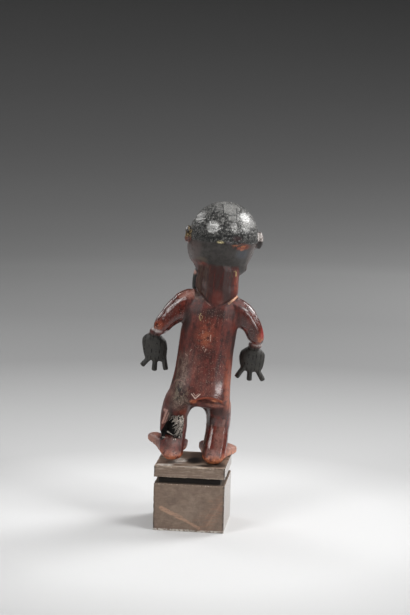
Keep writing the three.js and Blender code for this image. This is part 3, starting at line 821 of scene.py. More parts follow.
def add_splinter(start, end, radius):
    run = end - start
    bpy.ops.mesh.primitive_cone_add(
        vertices=6, radius1=radius, radius2=radius * 0.15, depth=run.length,
        location=(start + end) / 2, rotation=run.to_track_quat("Z", "Y").to_euler(),
    )
    return settle(bpy.context.object, BODY, "splinter")


def add_fibres(count, across, along, lift, length, tilt, radius):
    """Fibres that rise from random places of the torn floor and lie down along the grain."""
    fibres = []
    for index in range(count):
        x = fibre_dice.uniform(*across)
        z = fibre_dice.uniform(*along)
        rise = fibre_dice.uniform(*lift)
        reach = fibre_dice.uniform(*length)
        lean = fibre_dice.uniform(*tilt)
        start = Vector((x, torn_floor(x, z) - 0.3, z))
        end = start + Vector((reach * sin(lean), rise + 0.3, -reach * cos(lean)))
        fibres.append(add_splinter(start, end, fibre_dice.uniform(*radius)))
    return fibres


tear_break()
apply_modifier("DECIMATE", ratio=FACES_KEPT)
splinters = [add_splinter(Vector((22.6, 6.4, 18.4)), Vector((17.4, 8.4, 16.4)), 0.6)]
for tuft in FIBRE_TUFTS:
    splinters += add_fibres(*tuft)
for index in range(BREAK_RIM_SPLINTERS):
    x = BREAK_RIM_START + index * BREAK_RIM_SPACING
    foot = Vector((x, fibre_dice.uniform(10.5, 14), BREAK_RIM_HEIGHT))
    end = foot + Vector((fibre_dice.uniform(-0.4, 0.4), -0.4, fibre_dice.uniform(0.7, 1.6)))
    splinters.append(add_splinter(foot, end, fibre_dice.uniform(0.25, 0.5)))


def mark(piece, name, values):
    """Keeps a number on each vertex, which the finish reads by name."""
    piece.data.attributes.new(name, "FLOAT", "POINT").data.foreach_set("value", values.astype(np.float32))


def proudness():
    """How far each vertex stands out from the smoothed surface round it, in millimetres."""
    mesh = figure.data
    ends = np.empty(len(mesh.edges) * 2, dtype=np.int64)
    mesh.edges.foreach_get("vertices", ends)
    first, second = ends.reshape(-1, 2).T
    points = points_of(figure, BODY)
    spread = points.copy()
    size = len(points)
    count = np.bincount(first, minlength=size) + np.bincount(second, minlength=size)
    for step in range(SMOOTHING_ROUNDS):
        for axis in range(3):
            column = spread[:, axis].copy()
            total = np.bincount(first, column[second], size) + np.bincount(second, column[first], size)
            spread[:, axis] = 0.5 * column + 0.5 * total / count
    return ((points - spread) * normals_of(figure, BODY)).sum(axis=1)


x, y, z = points_of(figure, BODY).T
mark(figure, "proud", proudness())
head_points = points_of(figure, HEAD_ON_BODY)
mark(figure, "polish", polish_of(head_points))
mark(figure, "chipped", hair_share(head_points) * (1 - polish_of(head_points)))
ragged = (0.7 * np.sin(x * 2.1) + 0.5 * np.sin(x * 5.3 + 1) - 0.4) * soft_step(z, 30, 31.5)
mark(figure, "torn", soft_step(inside_break(x, y, z) + ragged, 0, 0.8) * soft_step(y, 14, 11.5))
for splinter in splinters:
    for name, value in SPLINTER_MARKS:
        mark(splinter, name, np.full(len(splinter.data.vertices), value))
join_onto(figure, splinters)

# The wood is oiled to a deep gloss, rubbed to orange where hands wear it, with blackened hair,
# beard and hands. Grime has turned the left hip olive, and light scratches cross the back.
WOOD_DEEP = (0.036, 0.0080, 0.0062)
WOOD_RED = (0.130, 0.025, 0.017)
WOOD_RUST = (0.27, 0.055, 0.024)
WOOD_ORANGE = (0.50, 0.17, 0.07)
WOOD_CRIMSON = (0.30, 0.022, 0.020)
WOOD_DARK = (0.014, 0.008, 0.007)
WOOD_OLIVE = (0.155, 0.119, 0.087)
PINK_WEAR_AND_HIGHLIGHT = (0.40, 0.22, 0.18)
WOOD_PALE = (0.66, 0.50, 0.42)
SHOULDER_HIGHLIGHT = (0.66, 0.36, 0.22)
FOOT_PINK = (0.66, 0.36, 0.27)
CUFF_GREY = (0.44, 0.39, 0.37)
ARM_HIGHLIGHT = (0.62, 0.57, 0.56)
GOLD = (0.36, 0.26, 0.12)
NECK_BROWN = (0.034, 0.015, 0.013)
NECK_OLIVE = (0.095, 0.072, 0.050)
EAR_HIGHLIGHT = (0.50, 0.46, 0.43)
BLACK = (0.024, 0.024, 0.022)
BLACK_WORN = (0.15, 0.147, 0.138)
HAND_BLACK = (0.040, 0.037, 0.032)
WORN_AND_REFLECTED_GREY = (0.23, 0.226, 0.215)
HIGHLIGHT_WHITE = (0.70, 0.69, 0.67)
CRACK = (0.004, 0.004, 0.004)
WINE = (0.030, 0.010, 0.011)
SKULL = (0.046, 0.041, 0.037)
SKULL_DARK = (0.020, 0.017, 0.015)
SKULL_BLUE_REFLECTION = (0.065, 0.070, 0.085)
TEMPLE_REFLECTION = (0.105, 0.078, 0.072)
CHIP = (0.66, 0.56, 0.30)
CHIP_SHADOW_GREY = (0.12, 0.10, 0.11)
BREAK_SHADE_BLACK = (0.008, 0.007, 0.006)
FIBRE = (0.76, 0.68, 0.60)

RUST_PATCHES = (
    ((3.0, 98), (12, 16), 0.4), ((14, 127), (9, 5), 0.4), ((-14.6, 139), (3.0, 11), 0.4),
    ((13.4, 149), (3.0, 4.5), 0.7), ((40, 99.5), (5.5, 5), 0.65), ((-37.5, 100), (5, 5), 0.45),
    ((12.6, 36), (4, 4), 0.5), ((-11, 45.2), (9, 2.0), 0.95), ((6.4, 46.6), (5, 2.5), 0.8),
    ((-27, 8), (9, 6), 0.9),
)
ORANGE_PATCHES = (
    ((3.4, 96), (4.5, 8), 0.22), ((3.2, 95.5), (2.6, 4), 0.3), ((41, 98), (3.5, 2.6), 0.4),
    ((-38, 98.5), (4, 2.6), 0.5), ((6.4, 46.6), (3.6, 1.9), 1.0), ((-11.5, 49.4), (6, 1.5), 0.9),
    ((-30, 8), (7, 4), 0.7),
)
# Mostly painted shade, under the arms, beneath the seat's ridge and behind the knees.
DARK_AND_SHADE_PATCHES = (
    ((-1, 115.5), (13, 5), 0.6), ((13, 116), (5, 6), 0.6), ((-13, 116), (5, 6), 0.5),
    ((-22, 112), (6, 8), 0.4), ((-31, 103), (5, 10), 0.6), ((19.5, 106), (5, 12), 0.85),
    ((-18.6, 92), (2.6, 14), 0.7), ((21.5, 44), (6, 7), 0.5), ((13, 43.6), (8, 2.4), 0.8),
    ((-13.5, 39.6), (13, 4.6), 0.65), ((21.8, 31.5), (3.6, 6.5), 0.9), ((-9.5, 31), (5, 7), 0.8),
)
DULL_PATCHES = (
    ((17, 50), (9, 13), 1.0), ((11, 46.5), (6, 4), 0.7), ((17, 40.5), (9, 5), 0.6),
    ((-8, 46.5), (10, 2.5), 0.25), ((24, 30), (4, 9), 0.5),
)
# Partly pink wear and partly painted sheen and highlights.
PINK_WEAR_AND_SHEEN_PATCHES = (
    ((-4, 124.5), (4, 2.5), 0.35), ((17.2, 126.8), (4, 2.6), 0.4), ((22, 125.5), (8, 4), 0.35),
    ((42.5, 95.5), (4, 2.2), 0.3), ((-38, 93.5), (6, 2.2), 0.3), ((12, 72), (12, 18), 0.12),
    ((-3, 60), (14, 12), 0.08), ((-20, 60), (5, 30), 0.2), ((24, 50), (5, 10), 0.2),
    ((-10.7, 44.9), (9, 2.4), 0.35), ((16, 41), (11, 7), 0.13), ((26.6, 35), (1.8, 1.8), 1.0),
    ((11, 28), (3, 10), 0.3), ((-17.5, 20), (5.5, 15), 0.34), ((17, 12), (6, 6), 0.2),
    ((19, 6), (9, 5), 0.25), ((34, 8), (9, 7), 0.5), ((-14, 8), (8, 5), 0.3), ((-31, 9), (9, 6), 0.9),
)
# Painted highlights along arrises, the shoulders, the hip and the calves.
PINK_HIGHLIGHT_STROKES = (
    ((15.2, 130.5), (9.4, 124.6), 0.5, 0.9), ((9.4, 124.6), (3.2, 120.4), 0.3, 0.35),
    ((24.9, 35.6), (27.2, 24.4), 0.8, 1.0), ((23.4, 33.6), (25.4, 25.4), 0.5, 0.7),
    ((19.6, 30.4), (21.8, 24.6), 0.5, 0.5), ((-19.4, 33), (-18.6, 20), 1.4, 0.35),
    ((-21.8, 70), (-22.6, 40), 0.7, 0.5), ((26.6, 122.8), (18.6, 127.6), 1.0, 0.6),
    ((18.4, 129.4), (13.8, 124.6), 1.5, 0.75), ((-10.6, 28.6), (-10.9, 11), 0.3, 0.5),
)
# A painted highlight on the right shoulder.
SHOULDER_HIGHLIGHT_STROKE = ((-16.4, 128.6), (-10.6, 123.6), 0.9, 0.9)
# A painted highlight along the top of the left arm.
ARM_HIGHLIGHT_STROKES = (
    ((22.5, 122.8), (28, 119.8), 1.2, 0.4), ((28, 119.8), (34.8, 111.2), 1.6, 0.6),
    ((34.8, 111.2), (37, 105), 0.7, 0.3),
)
CUFF_PATCHES = (((42.5, 94.6), (8, 1.9), 0.75), ((-38, 92.8), (7, 1.9), 0.6))
FOOT_PATCHES = (((-31, 8), (9, 8), 0.42), ((35, 8), (9, 8), 0.34))
KNOT_MIDDLE = (18.2, 57.9)
KNOT_RADII = (4.2, 3.2)
COMBED_PATCH = ((-3, 62), (18, 16), 1)
FLECK_PATCHES = (
    ((0, 112), (17, 10), 0.4), ((9.7, 111.5), (3, 4.5), 0.7), ((30, 110), (12, 14), 0.35),
    ((-30, 110), (12, 14), 0.3), ((40, 98), (5, 5), 0.6), ((4, 97), (9, 12), 0.55),
    ((5.2, 88), (7.5, 4.2), 0.9), ((0, 75), (24, 36), 0.28), ((-9, 72), (9, 10), 0.5),
    ((14, 45), (9, 11), 0.6), ((-14, 4), (9, 5), 0.8), ((18, 4), (9, 4), 0.6),
)
SCRATCHES = (
    ((8.3, 52.6), (5.0, 49.5), 0.35, 0.75), ((5.0, 49.5), (1.9, 53.2), 0.35, 0.75),
    ((7.0, 53.4), (5.0, 51.4), 0.2, 0.5), ((5.0, 51.4), (3.2, 53.4), 0.2, 0.4),
    ((12.6, 85.4), (13.6, 83.8), 0.2, 0.35), ((16.8, 81.2), (15.2, 79.8), 0.2, 0.3),
    ((-0.2, 98.4), (-0.5, 93.8), 0.25, 0.5), ((6.2, 101), (5.9, 98.6), 0.2, 0.3),
    ((2.0, 87.2), (2.6, 85), 0.25, 0.4),
)
GILT_STROKES = (
    ((9.4, 113.6), (10.3, 111), 0.3, 0.6), ((10.3, 111), (9.0, 108.6), 0.4, 0.7),
    ((7.8, 112), (8.1, 109.8), 0.2, 0.5), ((-9.2, 147.2), (-10.4, 144), 0.5, 0.9),
    ((-12.9, 147.4), (-13.2, 144.6), 0.5, 0.9), ((-10.6, 147.8), (-12.2, 148.2), 0.4, 0.7),
)
NAPE_PATCH = ((-1.5, 126), (6, 9), 1)
EAR_RADII = (4.4, 6.0, 7.6)
FRONT_RIM_SLOPE = radians(32)
RIM_DIP = ((-3, 169), (11, 6), 1)
CRACKS_PER_MM = 0.66
DARK_HAIR_LINES = (
    ((12.5, 188.2), (10.6, 191.6), 0.6, 0.8), ((10.6, 191.6), (8.6, 195.5), 0.6, 0.8),
    ((3.4, 197), (3.2, 190), 0.5, 0.8), ((3.2, 190), (0.2, 186.8), 0.5, 0.7),
    ((-0.7, 190.2), (-6.8, 190.6), 0.45, 0.7), ((-6.8, 195), (-6.4, 187.5), 0.4, 0.8),
    ((2.2, 175.4), (-4.3, 175.4), 0.8, 1.0), ((12.2, 172.8), (5.2, 174.4), 0.7, 0.8),
    ((11.5, 180.4), (6.8, 178.4), 0.35, 0.5),
)
PALE_CRACK_AND_LIGHT_LINES = (
    ((12.2, 182.6), (6.6, 182.8), 0.3, 0.9), ((12.2, 182.6), (13.0, 184.8), 0.3, 0.8),
    ((8.4, 178.6), (5.6, 180.6), 0.3, 0.6), ((14, 178), (10, 176.6), 0.3, 0.5),
    ((22, 187), (17, 189.5), 0.3, 0.5), ((22, 184.6), (16.5, 186.6), 0.3, 0.6),
    ((21, 183), (17.5, 184.4), 0.3, 0.5),
)
# Painted highlights on the hair.
HAIR_HIGHLIGHT_PATCHES = (((-13, 186), (9, 9), 0.9), ((-6, 181.5), (5, 6), 0.8), ((2, 197), (14, 3), 0.5))
# White painted highlights on the brightest facets of the hair.
HIGHLIGHT_WHITE_PATCHES = (
    ((-13.5, 187.5), (7.5, 7), 0.75), ((10, 181.5), (5, 5), 1.0), ((-13, 180), (6, 3), 0.6),
    ((-4.6, 181.5), (3.6, 4.6), 0.9), ((19, 187.5), (4, 3.5), 0.4),
)
WINE_PATCH = ((-7.5, 173.8), (5, 2.8), 1)
SKULL_BLUE_REFLECTION_PATCH = ((-13.4, 161.5), (7, 5.5), 1)
SKULL_OLIVE_PATCH = ((16.5, 155), (5.5, 3.2), 1)
CHIN_HIGHLIGHT_PATCH = ((19.5, 142), (2.6, 2.4), 1)
RIM_WEAR_PATCH = ((-11.5, 167.6), (9, 3.4), 1)
RIM_ORANGE_PATCHES = (
    ((-12.9, 167.7), (2.8, 1.2), 0.8), ((-12.3, 165.2), (1.8, 1.1), 0.9), ((-6.6, 168.5), (3.6, 0.9), 0.6),
)
RIM_SHADOW_PATCH = ((1.5, 169.6), (6.5, 1.8), 1)
CHIP_PATCH = ((4.8, 170.5), (3.4, 1.4), 1)
# A painted shadow beside the chip.
CHIP_SHADOW_PATCH = ((-1.2, 170.4), (2.6, 1.6), 1)
UPPER_TUFT_PATCH = ((15, 30.5), (6.5, 5), 1)
LOWER_TUFT_PATCH = ((14, 24), (3.5, 8), 1)
SEAT_GLOSS_PATCH = ((-12.4, 55.4), (5.5, 10.5), 1)
MIDDLE_TONE = 0.5


class OiledWood(Finish):
    """The figure's finish. It knows each point's place on the body and the head."""

    def __init__(self):
        super().__init__("oiled_wood", Specular_IOR_Level=0.4, Coat_Roughness=0.12)
        self.body = self.place(BODY.inverted())
        self.x, self.y, self.z = self.parts(self.body)
        self.flat = self.stretched(self.body, (1, 0, 1))
        self.head = self.place(HEAD_ON_BODY.inverted())
        self.head_x, self.head_y, self.head_z = self.parts(self.head)
        self.head_flat = self.stretched(self.head, (1, 0, 1))
        self.behind = self.y.step(-2, 4)
        self.head_behind = self.head_y.step(-4, 2)
        self.proud = self.kept("proud")
        self.polish = self.kept("polish")
        self.chipped = self.kept("chipped")
        self.torn = self.kept("torn")
        lengthwise = self.drawn_out(self.body, (1, 1, 0.12))
        self.grain = self.noise(lengthwise, 0.9, detail=5)
        self.streak = self.noise(lengthwise, 2.6, detail=4)
        self.mottle = self.noise(self.body, 4.0, detail=5, roughness=0.7)
        self.speck = self.noise(self.body, 0.8, detail=2)
        self.hatch = self.noise(self.drawn_out(self.head, (1, 1, 0.3)), 0.7, detail=3)
        self.wander = self.mottle - MIDDLE_TONE

    def kept(self, name):
        """The number that each vertex keeps under a name."""
        return self.node("ShaderNodeAttribute", {"attribute_name": name}, {}, "Fac")

    def soft_patches(self, axes, table):
        """Soft ellipses seen from behind, each a middle, its radii and a strength, kept on the vertices."""
        x, y, z = points_of(figure, axes).T
        total = np.zeros(len(x))
        for middle, radii, strength in table:
            away = np.hypot((x - middle[0]) / radii[0], (z - middle[1]) / radii[1])
            total = np.maximum(total, strength * soft_step(away, 1.0, 0.35))
        name = "patches_" + str(len(figure.data.attributes))
        mark(figure, name, total)
        return self.kept(name)

    def on_body(self, *table):
        return self.soft_patches(BODY, table)

    def on_head(self, *table):
        return self.soft_patches(HEAD_ON_BODY, table)

    def bare_wood(self):
        """Dark red wood, clouded and streaked along the grain."""
        cloud = self.noise(self.body, 13, detail=3)
        red = (self.streak * 0.35 + self.mottle * 0.4 + cloud * 0.25).step(0.41, 0.60)
        self.colour = self.mix(red, WOOD_DEEP, WOOD_RED)
        self.lay(cloud.step(0.48, 0.66) * 0.5, WOOD_DEEP)

    def rub_bright(self):
        """Hands have rubbed the wood to rust and orange, most of all on the heels and the seat's ridge."""
        x, z = self.x, self.z
        right_band = (x + 28.6 - z * 0.163).size().step(4.4, 1.5) * z.step(41, 46)
        left_shoulder = z.step(122, 123.5) * z.step(132, 129) * x.step(13, 15)
        rust = self.on_body(*RUST_PATCHES) * self.behind
        rust = rust.most(right_band * z.step(96, 66) * 0.6).most(z.step(8, 2) * 0.8)
        rust = rust.most(left_shoulder * 0.3)
        self.lay(rust * self.mottle.step(0.30, 0.56), WOOD_RUST)
        heels = z.step(8.5, 2.5) * (0.9 - x.step(0, 8) * 0.35)
        warm = self.on_body(*ORANGE_PATCHES) * self.behind
        self.warm = warm.most(heels).most(right_band * z.step(72, 62) * 0.15)
        self.lay(self.warm * self.mottle.step(0.36, 0.58), WOOD_ORANGE)
        arm_edge = (x + 39).step(2, 0) * z.step(98, 101) * z.step(113, 107)
        self.lay(arm_edge * 0.6, WOOD_CRIMSON)
        across = x - SEAT_MIDDLE
        seat_edge = (z - SEAT_TOP + across * across * SEAT_CURVE).size()
        seat_edge = seat_edge.step(1.3, 0.4) * x.step(-18, -15) * x.step(9, 7) * self.behind
        self.lay(seat_edge * self.speck.step(0.2, 0.4) * 0.9, WOOD_RUST)
        worn = self.proud.step(0.12, 0.5) * self.mottle.step(0.3, 0.6)
        self.lay(worn * 0.5, WOOD_RUST)

    def darken(self):
        """Darker hollows, painted shade under arms, seat and knees, and olive grime on the left hip and
        right shin.
        """
        x, z = self.x, self.z
        # The dark patches are mostly painted shade under the arms, beneath the seat's ridge and behind the
        # knees.
        dark = self.on_body(*DARK_AND_SHADE_PATCHES) * self.behind
        self.dark = dark.most(self.proud.step(-0.1, -0.4) * 0.85)
        self.lay(self.dark * self.mottle.step(0.2, 0.5), WOOD_DARK)
        strip = (x - 17.8).size().step(5.4, 3.0) * z.step(48, 54) * z.step(86, 74) * 0.75
        shin = x + 6.5
        shin = shin.step(-2.5, 0.5) * shin.step(3, 1) * z.step(36, 30) * z.step(4, 8)
        dull = self.on_body(*DULL_PATCHES).most(strip).most(shin * 0.8)
        self.dull = dull * self.behind * (1 - self.warm)
        smear = self.noise(self.drawn_out(self.body, (1, 1, 0.4)), 2.4, detail=5, roughness=0.7, warp=0.8)
        olive = self.mix((smear * 0.8 + self.speck * 0.2).step(0.43, 0.57), WOOD_DARK, WOOD_OLIVE)
        self.lay(self.dull * (self.mottle * 0.6 + self.streak * 0.4).step(0.34, 0.54), olive)

    def wear_and_highlight(self):
        """Edges, cuffs and feet worn pink and grey; painted highlights on arrises, shoulders, calves and the
        left arm.
        """
        x, z = self.x, self.z
        arch = ((x - KNOT_MIDDLE[0]) / KNOT_RADII[0]) ** 2 + ((z - KNOT_MIDDLE[1]) / KNOT_RADII[1]) ** 2
        knot = arch.step(0.62, 0.85) * arch.step(1.3, 1.05) * z.step(57.4, 58.4) * self.behind
        # The pink strokes are painted highlights, and the pink patches are partly wear and partly painted
        # sheen.
        pink_wear_and_highlight = self.strokes(self.flat, *PINK_HIGHLIGHT_STROKES)
        pink_wear_and_highlight = pink_wear_and_highlight.most(self.on_body(*PINK_WEAR_AND_SHEEN_PATCHES) * self.mottle.step(0.25, 0.5)) * self.behind
        self.lay(pink_wear_and_highlight.most(knot * 0.3) * self.speck.step(0.2, 0.5), PINK_WEAR_AND_HIGHLIGHT)
        # A cream painted highlight lies on the right shoulder beside the nape.
        shoulder_highlight = self.strokes(self.flat, SHOULDER_HIGHLIGHT_STROKE) * self.behind
        self.lay(shoulder_highlight * self.mottle.step(0.2, 0.5), SHOULDER_HIGHLIGHT)
        cuffs = self.on_body(*CUFF_PATCHES)
        self.lay(cuffs * self.mottle.step(0.3, 0.5), CUFF_GREY)
        # A pale painted highlight runs down the top of the left arm.
        arm_highlight = self.strokes(self.flat, *ARM_HIGHLIGHT_STROKES) * self.behind
        self.lay(arm_highlight * (self.streak * 0.4 + self.speck * 0.6).step(0.40, 0.58), ARM_HIGHLIGHT)
        feet = self.on_body(*FOOT_PATCHES) * self.y.step(3, -5) * z.step(22, 16)
        self.lay(feet * self.mottle.step(0.2, 0.5), FOOT_PINK)

    def scratch(self):
        """Fine lines run along the grain, and flecks, scratches and a few marks of gilt lie over them."""
        fine = self.noise(self.drawn_out(self.body, (1, 1, 0.07)), 0.5, detail=2)
        combed = fine.step(0.60, 0.70) * (0.12 + self.on_body(COMBED_PATCH) * 0.25) * self.behind
        self.lay(combed, PINK_WEAR_AND_HIGHLIGHT)
        flecks = self.speck.step(0.60, 0.70) * self.on_body(*FLECK_PATCHES)
        scratches = self.strokes(self.flat, *SCRATCHES)
        scratches = scratches * (self.speck * 0.7 + self.mottle * 0.3).step(0.32, 0.5)
        self.pale = (flecks * 0.75).most(scratches) * self.behind
        self.lay(self.pale, WOOD_PALE)
        gilt = self.strokes(self.flat, *GILT_STROKES) * self.behind
        self.lay(gilt, GOLD)

    def stain_neck(self):
        """The neck is umber with flames of red, and greenish on its left."""
        x = self.x
        neck = self.z.step(120, 126) * self.head_z.step(153, 149) * x.size().step(17, 15)
        flame = self.noise(self.drawn_out(self.body, (1, 1, 0.16)), 1.5, detail=4, warp=0.5)
        umber = self.mix(flame.step(0.45, 0.55), NECK_BROWN, WOOD_DEEP)
        umber = self.mix(flame.step(0.56, 0.66) * 0.45, umber, WOOD_RED)
        green = x.step(4, 11) * (flame * 0.5 + self.mottle * 0.5).step(0.45, 0.58)
        umber = self.mix(green * 0.55, umber, NECK_OLIVE)
        umber = self.mix(self.on_body(NAPE_PATCH) * 0.6, umber, WOOD_RED)
        self.lay(neck * x.step(-13.5, -10) * 0.95, umber)

    def gild_ears(self):
        """Gilt shows in the left ear. The right one has painted light on its upper half and painted shade
        below.
        """
        rise = self.head_z - EAR.z - self.head_x.step(-1, 1) * EAR_LIFT
        across = (self.head_x.size() - EAR.x) / EAR_RADII[0]
        depth = (self.head_y - EAR.y) / EAR_RADII[1]
        self.from_ear = across ** 2 + depth ** 2 + (rise / EAR_RADII[2]) ** 2
        self.ears = self.from_ear.step(1.2, 0.95)
        left = self.mix((self.mottle * 0.6 + self.speck * 0.4).step(0.48, 0.60), WOOD_DARK, GOLD)
        left = self.mix(rise.step(-1, -3.5) * self.mottle.step(0.3, 0.6), left, WOOD_RED)
        # The right ear's upper half is painted lit and its lower half painted in shade.
        lit_speckle = self.mix((self.mottle * 0.5 + self.speck * 0.5).step(0.42, 0.56), WOOD_DEEP, EAR_HIGHLIGHT)
        right = self.mix(rise.step(-0.6, 0.4), WOOD_DARK, lit_speckle)
        self.lay(self.ears, self.mix(self.head_x.step(-1, 1), right, left))

    def outline_black(self):
        """Where the hair, the blackened back of the skull, the beard and the hands are."""
        x, z, head_x, head_y, head_z = self.x, self.z, self.head_x, self.head_y, self.head_z
        front = (head_y + 7) * sin(FRONT_RIM_SLOPE) + (head_z - RIM) * cos(FRONT_RIM_SLOPE)
        above_rim = (head_z - (RIM + 0.7)).least(front) + self.on_head(RIM_DIP) * 1.1
        self.hair = (above_rim + self.wander * 3.2).step(-0.5, 0.3) * self.from_ear.step(0.95, 1.2)
        self.rough_hair = self.hair * (1 - self.polish)
        jaw = head_x.step(-11.5, -15) * 7 - x.step(6, 14) * 3
        nape = (head_z + self.wander * 5 + jaw).step(149, 152.5) * head_y.step(-14, -2)
        self.nape = nape * self.from_ear.step(0.95, 1.3)
        beard = head_z.step(150, 146.5) * head_z.step(126, 127) * head_y.step(-9, -10.5)
        self.beard = beard * z.step(125.5, 126)
        self.hands = (z + self.wander * 4).step(92.5, 88) * x.size().step(23.5, 25) * z.step(54, 58)

    def crack_skin(self):
        """The hair's thick skin is cracked into chips. Each has a tone and tilts its own way."""
        drift = self.node("ShaderNodeTexNoise", {}, {"Vector": self.body, "Scale": 0.7}, "Color")
        warped = self.node("ShaderNodeMapping", {}, {"Vector": self.body, "Location": drift})
        cells = {"Vector": warped, "Scale": CRACKS_PER_MM}
        middle = self.node("ShaderNodeTexVoronoi", {}, cells, "Position")
        edge = self.node("ShaderNodeTexVoronoi", {"feature": "DISTANCE_TO_EDGE"}, cells, "Distance")
        self.crack = edge.step(0.16, 0.04)
        lean = self.vectors("SUBTRACT", middle.beside("Color"), (MIDDLE_TONE, MIDDLE_TONE, MIDDLE_TONE))
        within = self.vectors("SUBTRACT", warped, middle)
        self.tilt = self.vectors("DOT_PRODUCT", within, lean, "Value")
        return self.node("ShaderNodeSeparateColor", {}, {"Color": middle.beside("Color")}, "Red")

    def hair_colour(self):
        """Black skin with cracks and a few drawn lines, greyed and painted with highlights on the polished
        facets.
        """
        tone = self.crack_skin() * 0.55 + self.mottle * 0.45
        black = self.mix(tone.step(0.28, 0.66), BLACK, BLACK_WORN)
        black = self.mix(self.head_z.step(182, 172) * 0.35, black, BLACK)
        # Painted highlights in facet grey lie on the hair's right side and crown.
        hair_highlight = self.on_head(*HAIR_HIGHLIGHT_PATCHES) * self.head_behind
        black = self.mix(hair_highlight * (self.hatch * 0.5 + self.speck * 0.5).step(0.40, 0.56), black, WORN_AND_REFLECTED_GREY)
        # The polished facets are painted grey, partly worn skin and partly painted reflection.
        facet = self.mix((self.hatch * 0.6 + self.mottle * 0.4).step(0.40, 0.58), BLACK_WORN, WORN_AND_REFLECTED_GREY)
        black = self.mix(self.polish * 0.9, black, facet)
        # White painted highlights lie on the brightest facets.
        white_highlight = self.on_head(*HIGHLIGHT_WHITE_PATCHES) * self.head_behind
        white_highlight = white_highlight * (self.hatch * 0.4 + self.speck * 0.6).step(0.44, 0.58)
        black = self.mix(white_highlight * 0.8, black, HIGHLIGHT_WHITE)
        black = self.mix(self.crack * (0.15 + self.rough_hair * 0.6), black, CRACK)
        dark_lines = self.strokes(self.head_flat, *DARK_HAIR_LINES) * self.head_behind
        black = self.mix(dark_lines, black, CRACK)
        # The pale lines are partly white cracks and partly painted streaks of light.
        pale_crack_and_light_lines = self.strokes(self.head_flat, *PALE_CRACK_AND_LIGHT_LINES) * self.head_behind
        black = self.mix(pale_crack_and_light_lines * self.speck.step(0.3, 0.5), black, HIGHLIGHT_WHITE)
        wine = self.on_head(WINE_PATCH) * self.head_behind
        return self.mix(wine * 0.85, black, WINE)

    def skull_colour(self):
        """Thin black over the skull's back, with painted reflections: brownish at the temples, bluish low on
        the right.
        """
        head_x, head_z = self.head_x, self.head_z
        skull = self.mix(self.mottle.step(0.36, 0.62), SKULL_DARK, SKULL)
        # A bluish painted reflection lies low on the right of the skull.
        skull = self.mix(self.on_head(SKULL_BLUE_REFLECTION_PATCH) * 0.7, skull, SKULL_BLUE_REFLECTION)
        # The temples carry a brownish grey painted reflection.
        temple_reflection = head_x.size().step(15, 22) * head_z.step(172, 166) * self.mottle.step(0.2, 0.5)
        skull = self.mix(temple_reflection * 0.8, skull, TEMPLE_REFLECTION)
        skull = self.mix(self.on_head(SKULL_OLIVE_PATCH) * 0.8, skull, NECK_OLIVE)
        return self.mix(head_z.step(159, 151) * head_x.size().step(15, 10) * 0.5, skull, SKULL_DARK)

    def blacken(self):
        """The back of the skull, the hair, the hands and the beard are blackened, in that order."""
        self.outline_black()
        self.lay(self.nape, self.skull_colour())
        self.lay(self.hair, self.hair_colour())
        hand = self.mix(self.mottle.step(0.32, 0.62), BLACK, HAND_BLACK)
        hand = self.mix(self.speck.step(0.6, 0.75) * 0.3, hand, BLACK_WORN)
        self.lay(self.hands, hand)
        # A pink painted highlight on the jaw's corner tops the beard.
        self.lay(self.beard, self.mix(self.on_head(CHIN_HIGHLIGHT_PATCH), BLACK, PINK_WEAR_AND_HIGHLIGHT))

    def chip_rim(self):
        """The hair's rim is worn to orange wood on the right, with painted shadows, and a pale chip in the
        middle.
        """
        back = self.head_y.step(8, 12)
        wear = self.on_head(RIM_WEAR_PATCH) * (self.mottle * 0.7 + self.speck * 0.3).step(0.40, 0.54) * back
        self.lay(wear * 0.9, WOOD_RUST)
        bright = self.on_head(*RIM_ORANGE_PATCHES) * back * self.speck.step(0.3, 0.55)
        self.lay(bright, WOOD_ORANGE)
        self.lay(self.on_head(RIM_SHADOW_PATCH) * back * 0.8, WOOD_DARK)
        chip = self.on_head(CHIP_PATCH) * (self.speck * 0.8 + self.mottle * 0.2).step(0.36, 0.52) * back
        self.lay(chip, CHIP)
        # A painted shadow lies beside the chip.
        self.lay(self.on_head(CHIP_SHADOW_PATCH) * back * 0.7, CHIP_SHADOW_GREY)

    def tear_open(self):
        """Inside the break the wood is painted near black as the deep pocket's shade, with tufts of pale
        fibre.
        """
        self.tear = self.torn.step(0.2, 0.8)
        across_grain = self.noise(self.drawn_out(self.body, (1, 0.6, 0.5)), 0.9, detail=3, warp=1.5)
        tuft = self.on_body(UPPER_TUFT_PATCH).most((self.x - 12).size().step(2.2, 0.6) * 0.8)
        tuft = tuft.most(self.on_body(LOWER_TUFT_PATCH) * 0.45) * across_grain.step(0.49, 0.58)
        splinter = self.torn.step(1.2, 1.8) * (0.2 + self.speck * 1.3).least(1)
        fibre = tuft.most(splinter * (0.6 + self.z.step(22, 30) * 0.4))
        # The near black is painted shade in the deep pocket.
        self.lay(self.tear, self.mix(fibre, BREAK_SHADE_BLACK, FIBRE))

    def find_gloss(self):
        """How rough the surface is, and how strong the gloss that hands have left on it."""
        z = self.z
        handled = self.x.size().step(19, 24) * z.step(66, 90)
        shins = z.step(42, 34) * z.step(6, 13) * (self.x - 3).step(2, -2)
        handled = handled.most(shins).most(self.on_body(SEAT_GLOSS_PATCH) * 0.8)
        handled = handled * (1 - self.hands) * (1 - self.hair) * self.behind
        uneven = ((self.speck - MIDDLE_TONE) + self.wander) * (0.2 - handled * 0.12)
        rough = 0.46 - handled * 0.24 + self.dull * 0.08 + self.dark * 0.08 + uneven
        rough = rough + self.hands * 0.06 - self.nape * 0.02 + self.crack * self.rough_hair * 0.3
        rough = rough + self.ears * 0.1 + self.tear * 0.4 + self.pale * 0.2
        rough = rough - self.polish * (0.38 - self.hatch * 0.25)
        gloss = (handled * 0.4).most(self.polish * self.mottle.step(0.3, 0.5) * 0.8)
        return rough.most(0.1).least(0.95), gloss * (1 - self.tear) * (1 - self.nape)


